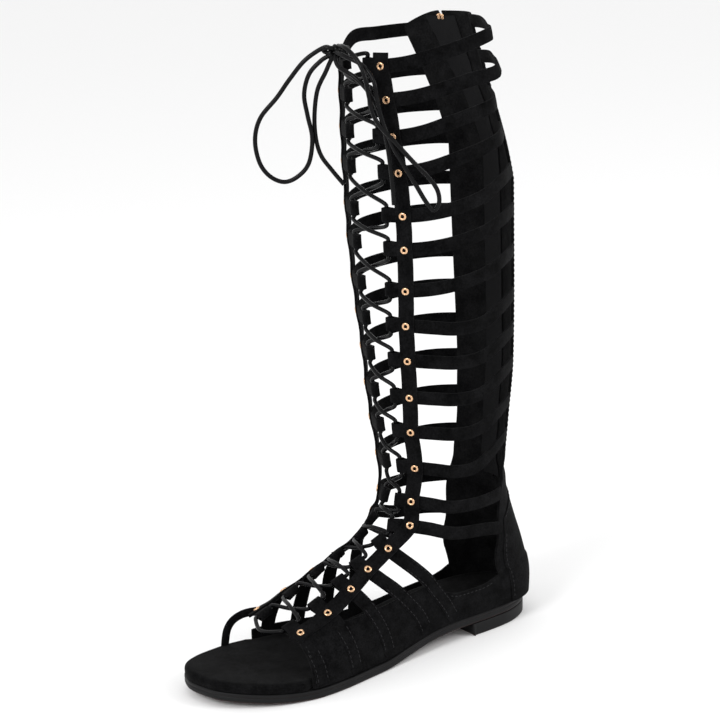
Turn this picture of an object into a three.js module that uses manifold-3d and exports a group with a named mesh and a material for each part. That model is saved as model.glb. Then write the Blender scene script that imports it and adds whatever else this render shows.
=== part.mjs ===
// Knee-high gladiator sandal, left shoe, in millimetres.
// +Z is up, the toe points to -Y and the outer (lateral) side of the foot is +X.
// The origin is on the ground under the middle of the heel block.
import * as THREE from 'three';
import { mergeVertices } from 'three/addons/utils/BufferGeometryUtils.js';
import Module from 'manifold-3d';

const wasm = await Module();
wasm.setup();
const { Manifold } = wasm;

// Driving dimensions
const SHOE_LENGTH = 252;
const HEEL_BACK_Y = 30;
const TOE_Y = HEEL_BACK_Y - SHOE_LENGTH;
const HEEL_BREAST_Y = -30;
const HEEL_HEIGHT = 8.2;
const OUTSOLE_THICKNESS = 6;
const INSOLE_THICKNESS = 6.2;
const SHAFT_TOP_Z = 399;
const STRAP_THICKNESS = 1.8;
const STRAP_WIDTH = 8.6;
const BAR_WIDTH = 9.8;
const BAR_THICKNESS = 2;
const BAR_STANDOFF = -0.9;
const UPPER_INSET = 1;
const GAP = 0.3;
const SOLE_SEAM = 0.6;
const LACE_DIAMETER = 2.8;
const KNOT_RADIUS = 4.6;
const STUD_RADIUS = 2.6;
const STUD_HEIGHT = 1.7;
const STUD_CLEARANCE = 0.5;
const ZIP_SLOT_WIDTH = 5;
const ZIP_BOTTOM_Z = 98;
const TAPE_THICKNESS = 0.7;
const CHAIN_WIDTH = 4;
const SLIDER_Z = 388;
const PULL_PIVOT_DEPTH = 3.3;

const LATERAL = 1;
const MEDIAL = -1;
const SIDES = [
  { name: 'lateral', side: LATERAL },
  { name: 'medial', side: MEDIAL },
];

// Sole outline: half widths of the two sides at fractions of the length from the heel
const OUTLINE = [
  { at: 0, lateral: 0, medial: 0 },
  { at: 0.02, lateral: 12, medial: 12 },
  { at: 0.06, lateral: 21, medial: 21.5 },
  { at: 0.12, lateral: 27, medial: 27.5 },
  { at: 0.2, lateral: 29, medial: 29 },
  { at: 0.3, lateral: 30, medial: 27 },
  { at: 0.4, lateral: 32.5, medial: 25.5 },
  { at: 0.5, lateral: 36.5, medial: 27.5 },
  { at: 0.6, lateral: 41, medial: 34 },
  { at: 0.68, lateral: 44.5, medial: 40 },
  { at: 0.74, lateral: 45.5, medial: 42.5 },
  { at: 0.8, lateral: 43.5, medial: 42.5 },
  { at: 0.86, lateral: 38.5, medial: 39.5 },
  { at: 0.91, lateral: 31, medial: 35.5 },
  { at: 0.95, lateral: 22.5, medial: 30 },
  { at: 0.98, lateral: 12.5, medial: 23 },
  { at: 1, lateral: -8, medial: 8 },
];

// Underside of the outsole: seat on the heel block, waist, flat ball and toe spring
const UNDERSIDE = [
  { y: TOE_Y, z: 5.4 },
  { y: -208, z: 3.9 },
  { y: -190, z: 2 },
  { y: -174, z: 0.8 },
  { y: -158, z: 0 },
  { y: -108, z: 0 },
  { y: -96, z: 1.2 },
  { y: -84, z: 3.4 },
  { y: -72, z: 5.6 },
  { y: -58, z: 7.5 },
  { y: -44, z: 8.3 },
  { y: -30, z: 8.5 },
  { y: HEEL_BACK_Y, z: 8.5 },
];

// Level sections of the last from heel seat to knee, to the outer face of the straps
const LEG = [
  { z: 12, centre: -4, front: -180, back: 29.5, half: 28.5 },
  { z: 30, centre: -7, front: -165, back: 31, half: 29.5 },
  { z: 50, centre: -14, front: -139, back: 27.3, half: 29.5 },
  { z: 70, centre: -21, front: -103, back: 21, half: 30.5 },
  { z: 85, centre: -25, front: -83, back: 16.3, half: 32.5 },
  { z: 98, centre: -27.5, front: -73.5, back: 14, half: 34.5 },
  { z: 110, centre: -28, front: -71, back: 13.3, half: 36 },
  { z: 140, centre: -28.3, front: -74, back: 15.5, half: 40.5 },
  { z: 180, centre: -27.7, front: -77, back: 20, half: 44.6 },
  { z: 250, centre: -27.8, front: -79, back: 21.8, half: 48.6 },
  { z: 320, centre: -27.8, front: -80, back: 22.8, half: 50.6 },
  { z: 350, centre: -27.8, front: -80, back: 21.5, half: 49.5 },
  { z: 410, centre: -27.8, front: -80, back: 18, half: 46.5 },
];

// Height of the instep ridge along the foot
const INSTEP = [
  { y: -215, ridge: 24 },
  { y: -200, ridge: 28 },
  { y: -185, ridge: 32 },
  { y: -170, ridge: 37 },
  { y: -158, ridge: 41.5 },
  { y: -139, ridge: 51 },
  { y: -120, ridge: 61.5 },
  { y: -104, ridge: 70.5 },
  { y: -92, ridge: 77 },
  { y: -80, ridge: 87 },
  { y: -73, ridge: 98 },
  { y: -65, ridge: 120 },
  { y: -50, ridge: 170 },
  { y: -30, ridge: 260 },
  { y: -5, ridge: 400 },
];
const SIDE_WALL_BASE_Z = 12;
const SIDE_WALL_POWER = 2.3;

// Ring straps from the knee down: height at the front bar, how far the outer run rises
// (or dips) at the side and at the back panel, how far the inner run rises at the side
// (half of its rise at the back, where no other is given) and at the back,
// and the angles of the two bars from the front
const RINGS = [
  { bar: 375.4, side: 9, back: 18.3, innerSide: 10.6, inner: 11, outerBar: 24, innerBar: 44, innerTab: 30 },
  { bar: 355.2, side: 8, back: 16.8, inner: 6, outerBar: 27, innerBar: 44, innerTab: 30 },
  { bar: 332.9, side: 9.5, back: 17, inner: 5, outerBar: 30, innerBar: 44, innerTab: 30 },
  { bar: 311.1, side: 8.5, back: 17, inner: 5, outerBar: 33, innerBar: 44, innerTab: 30 },
  { bar: 284.6, side: 5, back: 18, inner: 5, outerBar: 34.5, innerBar: 43.5, innerTab: 30 },
  { bar: 263.5, side: 4.5, back: 14, inner: 5, outerBar: 34.5, innerBar: 43, innerTab: 29.5 },
  { bar: 237.6, side: 4, back: 14, inner: 4, outerBar: 34, innerBar: 42, innerTab: 29.5 },
  { bar: 215.3, side: -3.7, back: 8, inner: 3, outerBar: 33, innerBar: 40, innerTab: 28.5 },
  { bar: 192.7, side: -3.1, back: 8, inner: 3, outerBar: 33, innerBar: 38, innerTab: 27.5 },
  { bar: 168.7, side: -3.2, back: 9.5, inner: 3, outerBar: 33, innerBar: 37, innerTab: 27.5 },
  { bar: 145.6, side: -3.4, back: 8, inner: 2, outerBar: 32, innerBar: 36.5, innerTab: 27.3 },
  { bar: 121.1, side: -4.9, back: 9, inner: 1, outerBar: 33, innerBar: 36.5, innerTab: 26.3 },
  { bar: 98.5, side: -6.8, back: -6.5, inner: -7, outerBar: 31, innerBar: 31, innerTab: 20.8 },
  { bar: 84, side: -11, back: -15, inner: -15, outerBar: 39, innerBar: 39, innerTab: 20 },
];
// The top two outer straps hang loose behind the leg before they meet the panel (x, y, z)
const LOOSE_FROM_ANGLE = 101;
const LOOSE_LOOPS = [
  [[46.5, -13.5, 389.5], [38, -7.5, 391], [27, -0.3, 392.5], [16, 4, 393.5]],
  [[50, -13.5, 366.5], [45.5, -6.7, 369.5], [35, -0.5, 371.3], [23, 5, 372.5]],
];
// Length of an outer tab that carries the lace, from the middle of the bar
const OUTER_TAB = 16;

// Foot straps: the tab end over the instep (x, y), then the run down each side (y, z)
const FOOT_STRAPS = [
  {
    tab: [8, -89],
    lateral: [[-87.4, 71.9], [-75, 58.5], [-66, 48.5], [-60.5, 40]],
    medial: [[-87.4, 71.9], [-86, 55], [-86, 37], [-87, 18]],
  },
  {
    tab: [9, -107],
    lateral: [[-104.7, 62.8], [-95, 52.5], [-88, 45], [-83, 39]],
    medial: [[-104.7, 62.8], [-105, 48], [-106, 32], [-108, 16]],
  },
  {
    tab: [10, -122],
    lateral: [[-120, 54.3], [-115, 46.5], [-110.5, 38]],
    medial: [[-120, 54.3], [-122, 42], [-124, 28], [-126, 15]],
  },
  {
    tab: [11, -141],
    lateral: [[-139.8, 44.5], [-137, 38.5]],
    medial: [[-139.8, 44.5], [-142, 34], [-144, 24], [-145, 15]],
  },
  {
    tab: [12, -161],
    lateral: [[-160, 36.6], [-160.3, 33]],
    medial: [[-160, 36.6], [-163, 34.5]],
  },
];
const FOOT_STRAP_WIDTH = 9;
const ROLLED_RADIUS = 2.6;

// Top edge of the side panels: high on the outer side, a low rand on the inner side
const PANEL_TOP = [
  { y: -164, lateral: 34, medial: 17 },
  { y: -158, lateral: 38, medial: 17.5 },
  { y: -150, lateral: 40.5, medial: 18 },
  { y: -137, lateral: 42, medial: 18.5 },
  { y: -130, lateral: 40, medial: 18.5 },
  { y: -118, lateral: 41, medial: 18.5 },
  { y: -104, lateral: 41.5, medial: 18.5 },
  { y: -92, lateral: 42.6, medial: 19 },
  { y: -80, lateral: 43.5, medial: 19.5 },
  { y: -68, lateral: 45, medial: 20 },
  { y: -60, lateral: 42, medial: 20.5 },
  { y: -52, lateral: 37, medial: 21 },
  { y: -40, lateral: 33.8, medial: 21.5 },
  { y: -24, lateral: 33.8, medial: 22 },
  { y: -8, lateral: 37, medial: 26 },
];
const PANEL_FRONT_Y = { lateral: -164, medial: -156 };

// Heel counter and back panel: angle from the back seam to the free edge
const BACK_EDGE = [
  { z: 12, angle: 90 },
  { z: 37, angle: 89 },
  { z: 50, angle: 85 },
  { z: 63, angle: 75 },
  { z: 85, angle: 63 },
  { z: 107, angle: 48 },
  { z: 141, angle: 41 },
  { z: 410, angle: 40 },
];

// Heights of the stations of the counter, the back panel and the zip
const BACK_LEVELS = [
  24, 37, 50, 63, 76, 90, 107, 141, 180, 230, 280, 312, 338, 364, 390,
];

// The empty top of the shaft: from these heights up the back panel has sunk forwards and
// to the inner side, and its outer half has curled in behind. Places are at the top (x, y).
const SLACK_TOP_Z = 399;
const SLACK = {
  seam: { from: 312, power: 1.3, place: [-21, 0] },
  outer: { from: 296, power: 1.15, place: [2.5, 5.5] },
  inner: { from: 312, power: 1.3, place: [-50, -14] },
};
const INNER_BOW = 4;
const INNER_TOP_DROP = 10;
const OUTER_TOP_DROP = 1;
const OUTER_CURL = 34;

// Bow, from the knot at the top of the lacing (points in millimetres)
const KNOT = [-10, -88, 383];
const LOOP_MEDIAL = [
  [-13.8, -91.5, 386.4], [-21, -103, 379], [-27, -111, 368], [-32, -118, 357], [-38, -127, 345],
  [-40, -130.5, 332], [-39, -129, 318], [-36, -124, 309], [-31, -117, 305], [-26, -110, 308],
  [-22, -104, 316], [-20.5, -101.5, 331], [-22, -103, 345], [-23, -104, 358],
  [-21, -101, 370], [-17, -95, 377.5], [-14.4, -90.8, 380.2],
];
const END_MEDIAL = [
  [-10.8, -90.6, 378.7], [-14, -93, 372], [-19.5, -96.5, 360], [-21.5, -98.3, 345], [-21.5, -98.3, 331],
  [-19.5, -96.5, 320], [-14.5, -92.5, 311], [-8.5, -88, 302],
];
const LOOP_LATERAL = [
  [-5.8, -88.7, 387], [5, -90.5, 386.5], [15, -89.5, 380], [20.5, -88.5, 371], [23, -88, 360],
  [25, -87, 349], [28.5, -84.5, 341], [35.5, -79.5, 332], [43.6, -71.6, 319], [48, -65.5, 311],
  [50.5, -60.5, 302], [50.5, -59.5, 294], [48, -61.5, 289.5], [45.5, -65, 294], [42, -69.8, 305],
  [38, -75, 317], [33.5, -79.5, 329], [29, -83, 344], [26, -84, 357], [23, -84, 368],
  [15, -86, 376.5], [4, -90.5, 381.5], [-5, -90.6, 383.1],
];
const END_LATERAL = [
  [-7.1, -91.1, 379.2], [1, -92.5, 374.5], [10, -89.5, 370], [17, -85.8, 363], [22, -82.8, 354],
  [25.5, -81.2, 344], [28.3, -80.4, 333], [29.8, -79.6, 319], [30.6, -79, 305], [30.6, -78.6, 293],
];

const COLOURS = { suede: '#1b1b1e', sole: '#3a3a3c', cord: '#141416', brass: '#c9a06a', tape: '#161618' };

const radians = (degrees) => (degrees * Math.PI) / 180;
const clamp01 = (value) => Math.min(1, Math.max(0, value));
const mix = (from, to, share) => from + (to - from) * share;

// Reads a column of a table at a key, on a monotone cubic through its rows
function lookUp(rows, key, column, at) {
  const last = rows.length - 1;
  if (at <= rows[0][key]) return rows[0][column];
  if (at >= rows[last][key]) return rows[last][column];
  const slopeOf = (i) => (rows[i + 1][column] - rows[i][column]) / (rows[i + 1][key] - rows[i][key]);
  const tangent = (i) => {
    if (i === 0) return slopeOf(0);
    if (i === last) return slopeOf(last - 1);
    const [before, after] = [slopeOf(i - 1), slopeOf(i)];
    return before * after <= 0 ? 0 : (2 * before * after) / (before + after);
  };
  const i = rows.findIndex((row) => row[key] > at) - 1;
  const span = rows[i + 1][key] - rows[i][key];
  const t = (at - rows[i][key]) / span;
  const [t2, t3] = [t * t, t * t * t];
  return (2 * t3 - 3 * t2 + 1) * rows[i][column] + (t3 - 2 * t2 + t) * span * tangent(i)
    + (3 * t2 - 2 * t3) * rows[i + 1][column] + (t3 - t2) * span * tangent(i + 1);
}

const undersideZ = (y) => lookUp(UNDERSIDE, 'y', 'z', y);
const outlineHalf = (side, y) =>
  lookUp(OUTLINE, 'at', side > 0 ? 'lateral' : 'medial', (HEEL_BACK_Y - y) / SHOE_LENGTH);

function legSection(z) {
  const read = (column) => lookUp(LEG, 'z', column, z);
  return { centre: read('centre'), front: read('front'), back: read('back'), half: read('half') };
}

// Above the calf the inner front of the shaft grows fuller than an ellipse
const INNER_FRONT = { from: 190, to: 250, power: 0.816 };

// Outer face of the upper around the leg, at an angle from the front towards the outer side
function legPoint(angle, z) {
  const section = legSection(z);
  const turn = radians(angle);
  const depth = Math.cos(turn) > 0 ? section.centre - section.front : section.back - section.centre;
  const along = Math.cos(turn);
  const across = Math.sin(turn);
  const backPower = z < 40 ? 2 / 2.3 : 2 / 2.1;
  const fuller = clamp01((z - INNER_FRONT.from) / (INNER_FRONT.to - INNER_FRONT.from));
  const frontPower = across < 0 ? mix(1, INNER_FRONT.power, fuller) : 1;
  const power = along > 0 ? frontPower : backPower;
  const bulge = (value) => Math.sign(value) * Math.abs(value) ** power;
  return new THREE.Vector3(section.half * bulge(across), section.centre - depth * bulge(along), z);
}

// Outer face of the upper beside the foot: half width of the last at a place in side view
function footHalf(side, y, z) {
  const section = legSection(z);
  const skin = outlineHalf(side, y) - UPPER_INSET;
  const heelSkin = outlineHalf(side, section.centre) - UPPER_INSET;
  const blend = clamp01((y + 90) / 30);
  const ridge = lookUp(INSTEP, 'y', 'ridge', y);
  const rise = clamp01((z - SIDE_WALL_BASE_Z) / (ridge - SIDE_WALL_BASE_Z));
  const drop = (1 - rise ** SIDE_WALL_POWER) ** (1 / SIDE_WALL_POWER);
  return skin * drop * mix(1, section.half / heelSkin, blend);
}

// Height of the last over the instep at a place in plan
function footTop(side, x, y) {
  let [low, high] = [SIDE_WALL_BASE_Z, lookUp(INSTEP, 'y', 'ridge', y)];
  for (let step = 0; step < 24; step += 1) {
    const middle = (low + high) / 2;
    if (footHalf(side, y, middle) > x) low = middle;
    else high = middle;
  }
  return (low + high) / 2;
}

// A place on the last with its outward normal, from a surface function of two parameters
function placeOn(surface, a, b, stepA, stepB, outwardHint) {
  const p = surface(a, b);
  const alongA = surface(a + stepA, b).sub(surface(a - stepA, b));
  const alongB = surface(a, b + stepB).sub(surface(a, b - stepB));
  const n = alongA.cross(alongB).normalize();
  if (n.dot(outwardHint(p)) < 0) n.negate();
  return { p, n };
}

const fromLegAxis = (p) => new THREE.Vector3(p.x, p.y - legSection(p.z).centre, 0);
const fromFootAxis = (p) => new THREE.Vector3(p.x, 0, p.z - 15);

const onLeg = (angle, z) => placeOn(legPoint, angle, z, 2, 2, fromLegAxis);
const onFoot = (side, y, z) =>
  placeOn((v, w) => new THREE.Vector3(side * footHalf(side, v, w), v, w), y, z, 1, 1, fromFootAxis);
const onInstep = (side, x, y) =>
  placeOn((u, v) => new THREE.Vector3(side * u, v, footTop(side, u, v)), x, y, 1, 1, fromFootAxis);

// Share of the way that an edge of the back panel has sunk at a height
const sinking = ({ from, power }, z) => clamp01((z - from) / (SLACK_TOP_Z - from)) ** power;

// Back panel: u is 1 at its outer edge, 0 at the zip and -1 at its inner edge
function backPoint(u, z) {
  const worn = legPoint(180 - u * lookUp(BACK_EDGE, 'z', 'angle', z), z);
  const share = Math.abs(u);
  const edge = u > 0 ? SLACK.outer : SLACK.inner;
  const sunk = mix(sinking(SLACK.seam, z), sinking(edge, z), share);
  if (sunk === 0) return worn;
  const bow = u > 0 ? OUTER_CURL * share ** 2 * (1 - share) : INNER_BOW * share * (1 - share);
  const slack = new THREE.Vector3(
    mix(SLACK.seam.place[0], edge.place[0], share),
    mix(SLACK.seam.place[1], edge.place[1], u > 0 ? share ** 2 : share) + bow,
    z,
  );
  return worn.lerp(slack, sunk);
}
const onBack = (u, z) => placeOn(backPoint, u, z, 0.03, 2, (p) => new THREE.Vector3(0, 1, 0)
  .addScaledVector(fromLegAxis(p).normalize(), 1.2));

// Closed body through a row of equal rings of points, with flat ends
function loft(rings) {
  const size = rings[0].length;
  const positions = rings.flat().flatMap((p) => [p.x, p.y, p.z]);
  const index = [];
  for (let r = 0; r + 1 < rings.length; r += 1) {
    for (let c = 0; c < size; c += 1) {
      const d = (c + 1) % size;
      const corners = [r * size + c, r * size + d, (r + 1) * size + d, (r + 1) * size + c];
      index.push(corners[0], corners[1], corners[2], corners[0], corners[2], corners[3]);
    }
  }
  const end = (rings.length - 1) * size;
  for (let c = 0; c < size / 2 - 1; c += 1) {
    const [near, far] = [size - 1 - c, size - 2 - c];
    index.push(c, near, far, c, far, c + 1);
    index.push(end + c, end + c + 1, end + far, end + c, end + far, end + near);
  }
  const geometry = new THREE.BufferGeometry();
  geometry.setAttribute('position', new THREE.Float32BufferAttribute(positions, 3));
  geometry.setIndex(index);
  return geometry;
}

function toSolid(geometry) {
  const bare = geometry.clone();
  bare.deleteAttribute('normal');
  bare.deleteAttribute('uv');
  const merged = mergeVertices(bare, 1e-4);
  const mesh = new wasm.Mesh({
    numProp: 3,
    vertProperties: new Float32Array(merged.attributes.position.array),
    triVerts: new Uint32Array(merged.index.array),
  });
  const solid = new Manifold(mesh);
  return solid.volume() < 0 ? new Manifold(flipped(mesh)) : solid;
}

function flipped(mesh) {
  const triVerts = mesh.triVerts.slice();
  for (let t = 0; t < triVerts.length; t += 3) {
    [triVerts[t], triVerts[t + 1]] = [triVerts[t + 1], triVerts[t]];
  }
  return new wasm.Mesh({ numProp: 3, vertProperties: mesh.vertProperties, triVerts });
}

function toGeometry(solid) {
  const mesh = solid.getMesh();
  const geometry = new THREE.BufferGeometry();
  geometry.setAttribute('position', new THREE.Float32BufferAttribute(mesh.vertProperties, 3));
  geometry.setIndex(new THREE.Uint32BufferAttribute(mesh.triVerts, 1));
  geometry.computeVertexNormals();
  return geometry;
}

// Evenly spaced places along a row of places on the last
function smoothPath(places, count) {
  const points = new THREE.CatmullRomCurve3(places.map((place) => place.p), false, 'centripetal');
  const normals = new THREE.CatmullRomCurve3(places.map((place) => place.n), false, 'centripetal');
  return Array.from({ length: count + 1 }, (unused, i) => {
    const t = points.getUtoTmapping(i / count);
    return { p: points.getPoint(t), n: normals.getPoint(t).normalize() };
  });
}

// Flat strap along a path on the last, between two heights over the outer face
function strap(places, width, bottom, top) {
  const rings = places.map(({ p, n }, i) => {
    const before = places[Math.max(0, i - 1)].p;
    const after = places[Math.min(places.length - 1, i + 1)].p;
    const across = new THREE.Vector3().crossVectors(n, after.clone().sub(before)).normalize();
    const corner = (side, height) =>
      p.clone().addScaledVector(across, (side * width) / 2).addScaledVector(n, height);
    return [corner(-1, bottom), corner(1, bottom), corner(1, top), corner(-1, top)];
  });
  return toSolid(loft(rings));
}

// Wall over a grid of places, from its outer face inwards
function wall(columns, thickness = STRAP_THICKNESS) {
  const rings = columns.map((column) => [
    ...column.map(({ p }) => p),
    ...column.map(({ p, n }) => p.clone().addScaledVector(n, -thickness)).reverse(),
  ]);
  return toSolid(loft(rings));
}

const barAngle = (ring, side) => (side === LATERAL ? ring.outerBar : ring.innerBar);

// Height of the outer or inner run of a ring strap at an angle from the front
function ringHeight(ring, side, angle) {
  const [sideAngle, middle, end] = side === LATERAL
    ? [80, ring.side, ring.back]
    : [62, ring.innerSide ?? ring.inner / 2, ring.inner];
  const rows = [
    { angle: 0, z: ring.bar },
    { angle: barAngle(ring, side), z: ring.bar },
    { angle: sideAngle, z: ring.bar + middle },
    { angle: 128, z: ring.bar + end },
    { angle: 180, z: ring.bar + end },
  ];
  return lookUp(rows, 'angle', 'z', angle);
}

const RING_STEP = 19;

// Angle from the front of a place some way along the tab of a ring strap
function tabAngle(ring, side, beyond) {
  const { centre, front, half } = legSection(ring.bar);
  const length = (side === LATERAL ? OUTER_TAB : ring.innerTab) + beyond;
  const radius = Math.min(centre - front, 1.3 * half);
  return barAngle(ring, side) - (length / radius) * (180 / Math.PI);
}

// Places along a loose loop, each facing away from the leg across the run of the strap
function loosePlaces(before, loop, after) {
  const points = loop.map(([x, y, z]) => new THREE.Vector3(x, y, z));
  const run = [before, ...points, after];
  return points.map((p, i) => {
    const along = run[i + 2].clone().sub(run[i]);
    return { p, n: new THREE.Vector3(along.y, -along.x, 0).normalize() };
  });
}

function ringStrap(ring, sideName, side) {
  const places = [];
  const edgeZ = ringHeight(ring, side, 128);
  const sunk = clamp01((edgeZ - SLACK.seam.from) / (SLACK_TOP_Z - SLACK.seam.from));
  const edgeAngle = 180 - lookUp(BACK_EDGE, 'z', 'angle', edgeZ);
  const loop = side === LATERAL ? LOOSE_LOOPS[RINGS.indexOf(ring)] : undefined;
  const roundUntil = loop
    ? LOOSE_FROM_ANGLE
    : edgeAngle - 10 - sunk * (side === LATERAL ? 12 : 32);
  const start = tabAngle(ring, side, 0);
  for (let angle = start; angle < roundUntil; angle += RING_STEP) {
    places.push(onLeg(side * angle, ringHeight(ring, side, angle)));
  }
  const panelEdge = onBack(side, edgeZ);
  if (loop) places.push(...loosePlaces(places.at(-1).p, loop, panelEdge.p));
  places.push(panelEdge, onBack(side * 0.86, edgeZ));
  const smooth = smoothPath(places, places.length);
  return strap(smooth, STRAP_WIDTH, -STRAP_THICKNESS + 0.1, -0.1);
}

function footStrap(row, sideName, side) {
  const [tabX, tabY] = row.tab;
  const places = [
    onInstep(side, tabX, tabY),
    onInstep(side, tabX + 6, tabY),
    ...row[sideName].map(([y, z]) => onFoot(side, y, z)),
  ];
  return strap(smoothPath(places, places.length + 1), FOOT_STRAP_WIDTH, -STRAP_THICKNESS + 0.1, -0.1);
}

// Places of the rivets: where each bar crosses the ring and foot straps
function barCrossings(side) {
  const onShaft = RINGS.map((ring) =>
    onLeg(side * barAngle(ring, side), ringHeight(ring, side, barAngle(ring, side))));
  const onFore = FOOT_STRAPS.map(({ lateral: [[y, z]] }) => onFoot(side, y, z));
  return [...onShaft, ...onFore];
}

// Middle line of a bar, with a place at each rivet
function barPath(side) {
  const top = onLeg(side * barAngle(RINGS[0], side), RINGS[0].bar + 8);
  const toe = onFoot(side, -165, 34);
  const places = [top, ...barCrossings(side), toe];
  const points = new THREE.CatmullRomCurve3(places.map((place) => place.p));
  const normals = new THREE.CatmullRomCurve3(places.map((place) => place.n));
  const steps = places.length - 1;
  return Array.from({ length: steps + 1 }, (unused, i) => (
    { p: points.getPoint(i / steps), n: normals.getPoint(i / steps).normalize() }));
}

const bar = (side) => strap(barPath(side), BAR_WIDTH, BAR_STANDOFF, BAR_STANDOFF + BAR_THICKNESS);

function sidePanel(sideName, side) {
  const columns = [];
  const rows = side === LATERAL ? [0, 0.3, 0.65, 1] : [0, 1];
  const front = PANEL_FRONT_Y[sideName];
  const stations = 19;
  for (let i = 0; i <= stations; i += 1) {
    const y = mix(front, -12, i / stations);
    const bottom = undersideZ(y) + OUTSOLE_THICKNESS + SOLE_SEAM;
    const top = lookUp(PANEL_TOP, 'y', sideName, y);
    columns.push(rows.map((share) => onFoot(side, y, mix(bottom, top, share))));
  }
  const bottom = undersideZ(-20) + OUTSOLE_THICKNESS + SOLE_SEAM;
  const counterTop = side === LATERAL ? 37 : 28;
  for (const [u, top] of [[1, counterTop], [0.94, counterTop + 3]]) {
    columns.push(rows.map((share) => onBack(side * u, mix(bottom, top, share))));
  }
  return wall(columns);
}

// Heel counter and back panel in one sheet, its top edge highest beside the zip
function backSheet() {
  const across = [-1, -0.73, -0.46, -0.2, 0, 0.2, 0.46, 0.73, 1];
  const bottom = undersideZ(0) + OUTSOLE_THICKNESS + SOLE_SEAM;
  const topAt = (u) => {
    const drop = u < 0 ? INNER_TOP_DROP : OUTER_TOP_DROP;
    return SHAFT_TOP_Z - drop * Math.abs(u) ** 1.5;
  };
  const columns = across.map((u) => [bottom, ...BACK_LEVELS, topAt(u)].map((z) => onBack(u, z)));
  return wall(columns);
}

function zipSlot() {
  const levels = [ZIP_BOTTOM_Z, ...BACK_LEVELS.filter((z) => z > ZIP_BOTTOM_Z), SHAFT_TOP_Z + 12];
  return toSolid(loft(levels.map((z) => crossSectionAt(z, ZIP_SLOT_WIDTH / 2, -6, 6))));
}

// Rectangle across the back seam, between two depths measured outwards from the panel
function crossSectionAt(z, halfWidth, inner, outer) {
  const { p, n } = onBack(0, z);
  const across = new THREE.Vector3().crossVectors(new THREE.Vector3(0, 0, 1), n).normalize();
  const corner = (x, d) => p.clone().addScaledVector(across, x).addScaledVector(n, d);
  return [
    corner(-halfWidth, inner),
    corner(halfWidth, inner),
    corner(halfWidth, outer),
    corner(-halfWidth, outer),
  ];
}

// Thin rolled strap from the front of the inner bar down into the edge of the insole
function rolledStrap(radius, footZ) {
  const route = [
    [-28.4, -163.4, 33],
    [-31.5, -168, 33.6],
    [-35.5, -173, 30],
    [-38.4, -176.5, 21],
    [-39, -177.5, footZ],
  ];
  return toSolid(tube(toCurve(route), 10, radius, 8));
}

function tube(curve, steps, radius, sides) {
  const circle = new THREE.Shape();
  for (let i = 0; i < sides; i += 1) {
    const turn = (2 * Math.PI * i) / sides;
    const point = [radius * Math.cos(turn), radius * Math.sin(turn)];
    if (i === 0) circle.moveTo(...point);
    else circle.lineTo(...point);
  }
  circle.closePath();
  return new THREE.ExtrudeGeometry(circle, { steps, extrudePath: curve, curveSegments: 1 });
}

function upperGeometry() {
  const pieces = [backSheet().subtract(zipSlot())];
  for (const { name, side } of SIDES) {
    pieces.push(sidePanel(name, side), bar(side));
    for (const ring of RINGS) pieces.push(ringStrap(ring, name, side));
    for (const row of FOOT_STRAPS) pieces.push(footStrap(row, name, side));
  }
  pieces.push(rolledStrap(ROLLED_RADIUS, 8.4));
  return toGeometry(Manifold.union(pieces).simplify(0.1));
}

// Layer of the sole: a profile of [inset, height] pairs swept along the outline
function soleLayer(fromY, toY, profileOf, baseZ, shareOf, stations) {
  const rings = [];
  for (let i = 0; i <= stations; i += 1) {
    const share = shareOf(i / stations);
    const place = (side, [inset, up]) => {
      const endInset = (y) => (y > HEEL_BACK_Y - 1 || y < TOE_Y + 1 ? inset + 0.3 : 0);
      const y = mix(fromY - endInset(fromY), toY + endInset(toY), share);
      const [outer, inner] = [outlineHalf(LATERAL, y), -outlineHalf(MEDIAL, y)];
      const half = Math.max(0.4, (outer - inner) / 2 - inset);
      return new THREE.Vector3((outer + inner) / 2 + side * half, y, baseZ(y) + up);
    };
    const y = mix(fromY, toY, share);
    const outerRun = profileOf(LATERAL, y).map((pair) => place(LATERAL, pair));
    const innerRun = profileOf(MEDIAL, y).map((pair) => place(MEDIAL, pair));
    rings.push([...outerRun, ...innerRun.reverse()]);
  }
  return toSolid(loft(rings));
}

const SOLE_STATIONS = 23;
const HEEL_STATIONS = 14;
const bothEnds = (share) => 0.5 - 0.5 * Math.cos(Math.PI * share);
const backEnd = (share) => 1 - Math.sin((Math.PI / 2) * (1 - share));

const outsoleGeometry = () => {
  const edge = [[0.9, 0], [0, 1], [0, OUTSOLE_THICKNESS - 0.8], [0.8, OUTSOLE_THICKNESS]];
  return toGeometry(soleLayer(HEEL_BACK_Y, TOE_Y, () => edge, undersideZ, bothEnds, SOLE_STATIONS));
};

const heelGeometry = () => {
  const edge = [[1.2, 0], [0.6, 0.8], [0.2, HEEL_HEIGHT - 0.6], [0.6, HEEL_HEIGHT]];
  return toGeometry(soleLayer(HEEL_BACK_Y, HEEL_BREAST_Y, () => edge, () => 0, backEnd, HEEL_STATIONS));
};

// Insole board with a rounded edge: full width at the toe, inside the upper behind it
function insoleGeometry() {
  const bottom = OUTSOLE_THICKNESS + GAP;
  const top = bottom + INSOLE_THICKNESS;
  const inUpper = UPPER_INSET + STRAP_THICKNESS + 3 * GAP;
  const edge = (side, y) => {
    const front = PANEL_FRONT_Y[side > 0 ? 'lateral' : 'medial'];
    const inset = mix(0.4, inUpper, clamp01((y - front + 18) / 5));
    return [[inset, bottom], [inset, top - 3], [inset + 0.8, top - 1], [inset + 2.6, top]];
  };
  const board = soleLayer(HEEL_BACK_Y, TOE_Y, edge, undersideZ, bothEnds, SOLE_STATIONS);
  return toGeometry(board.subtract(rolledStrap(ROLLED_RADIUS + GAP, 5)));
}

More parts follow.
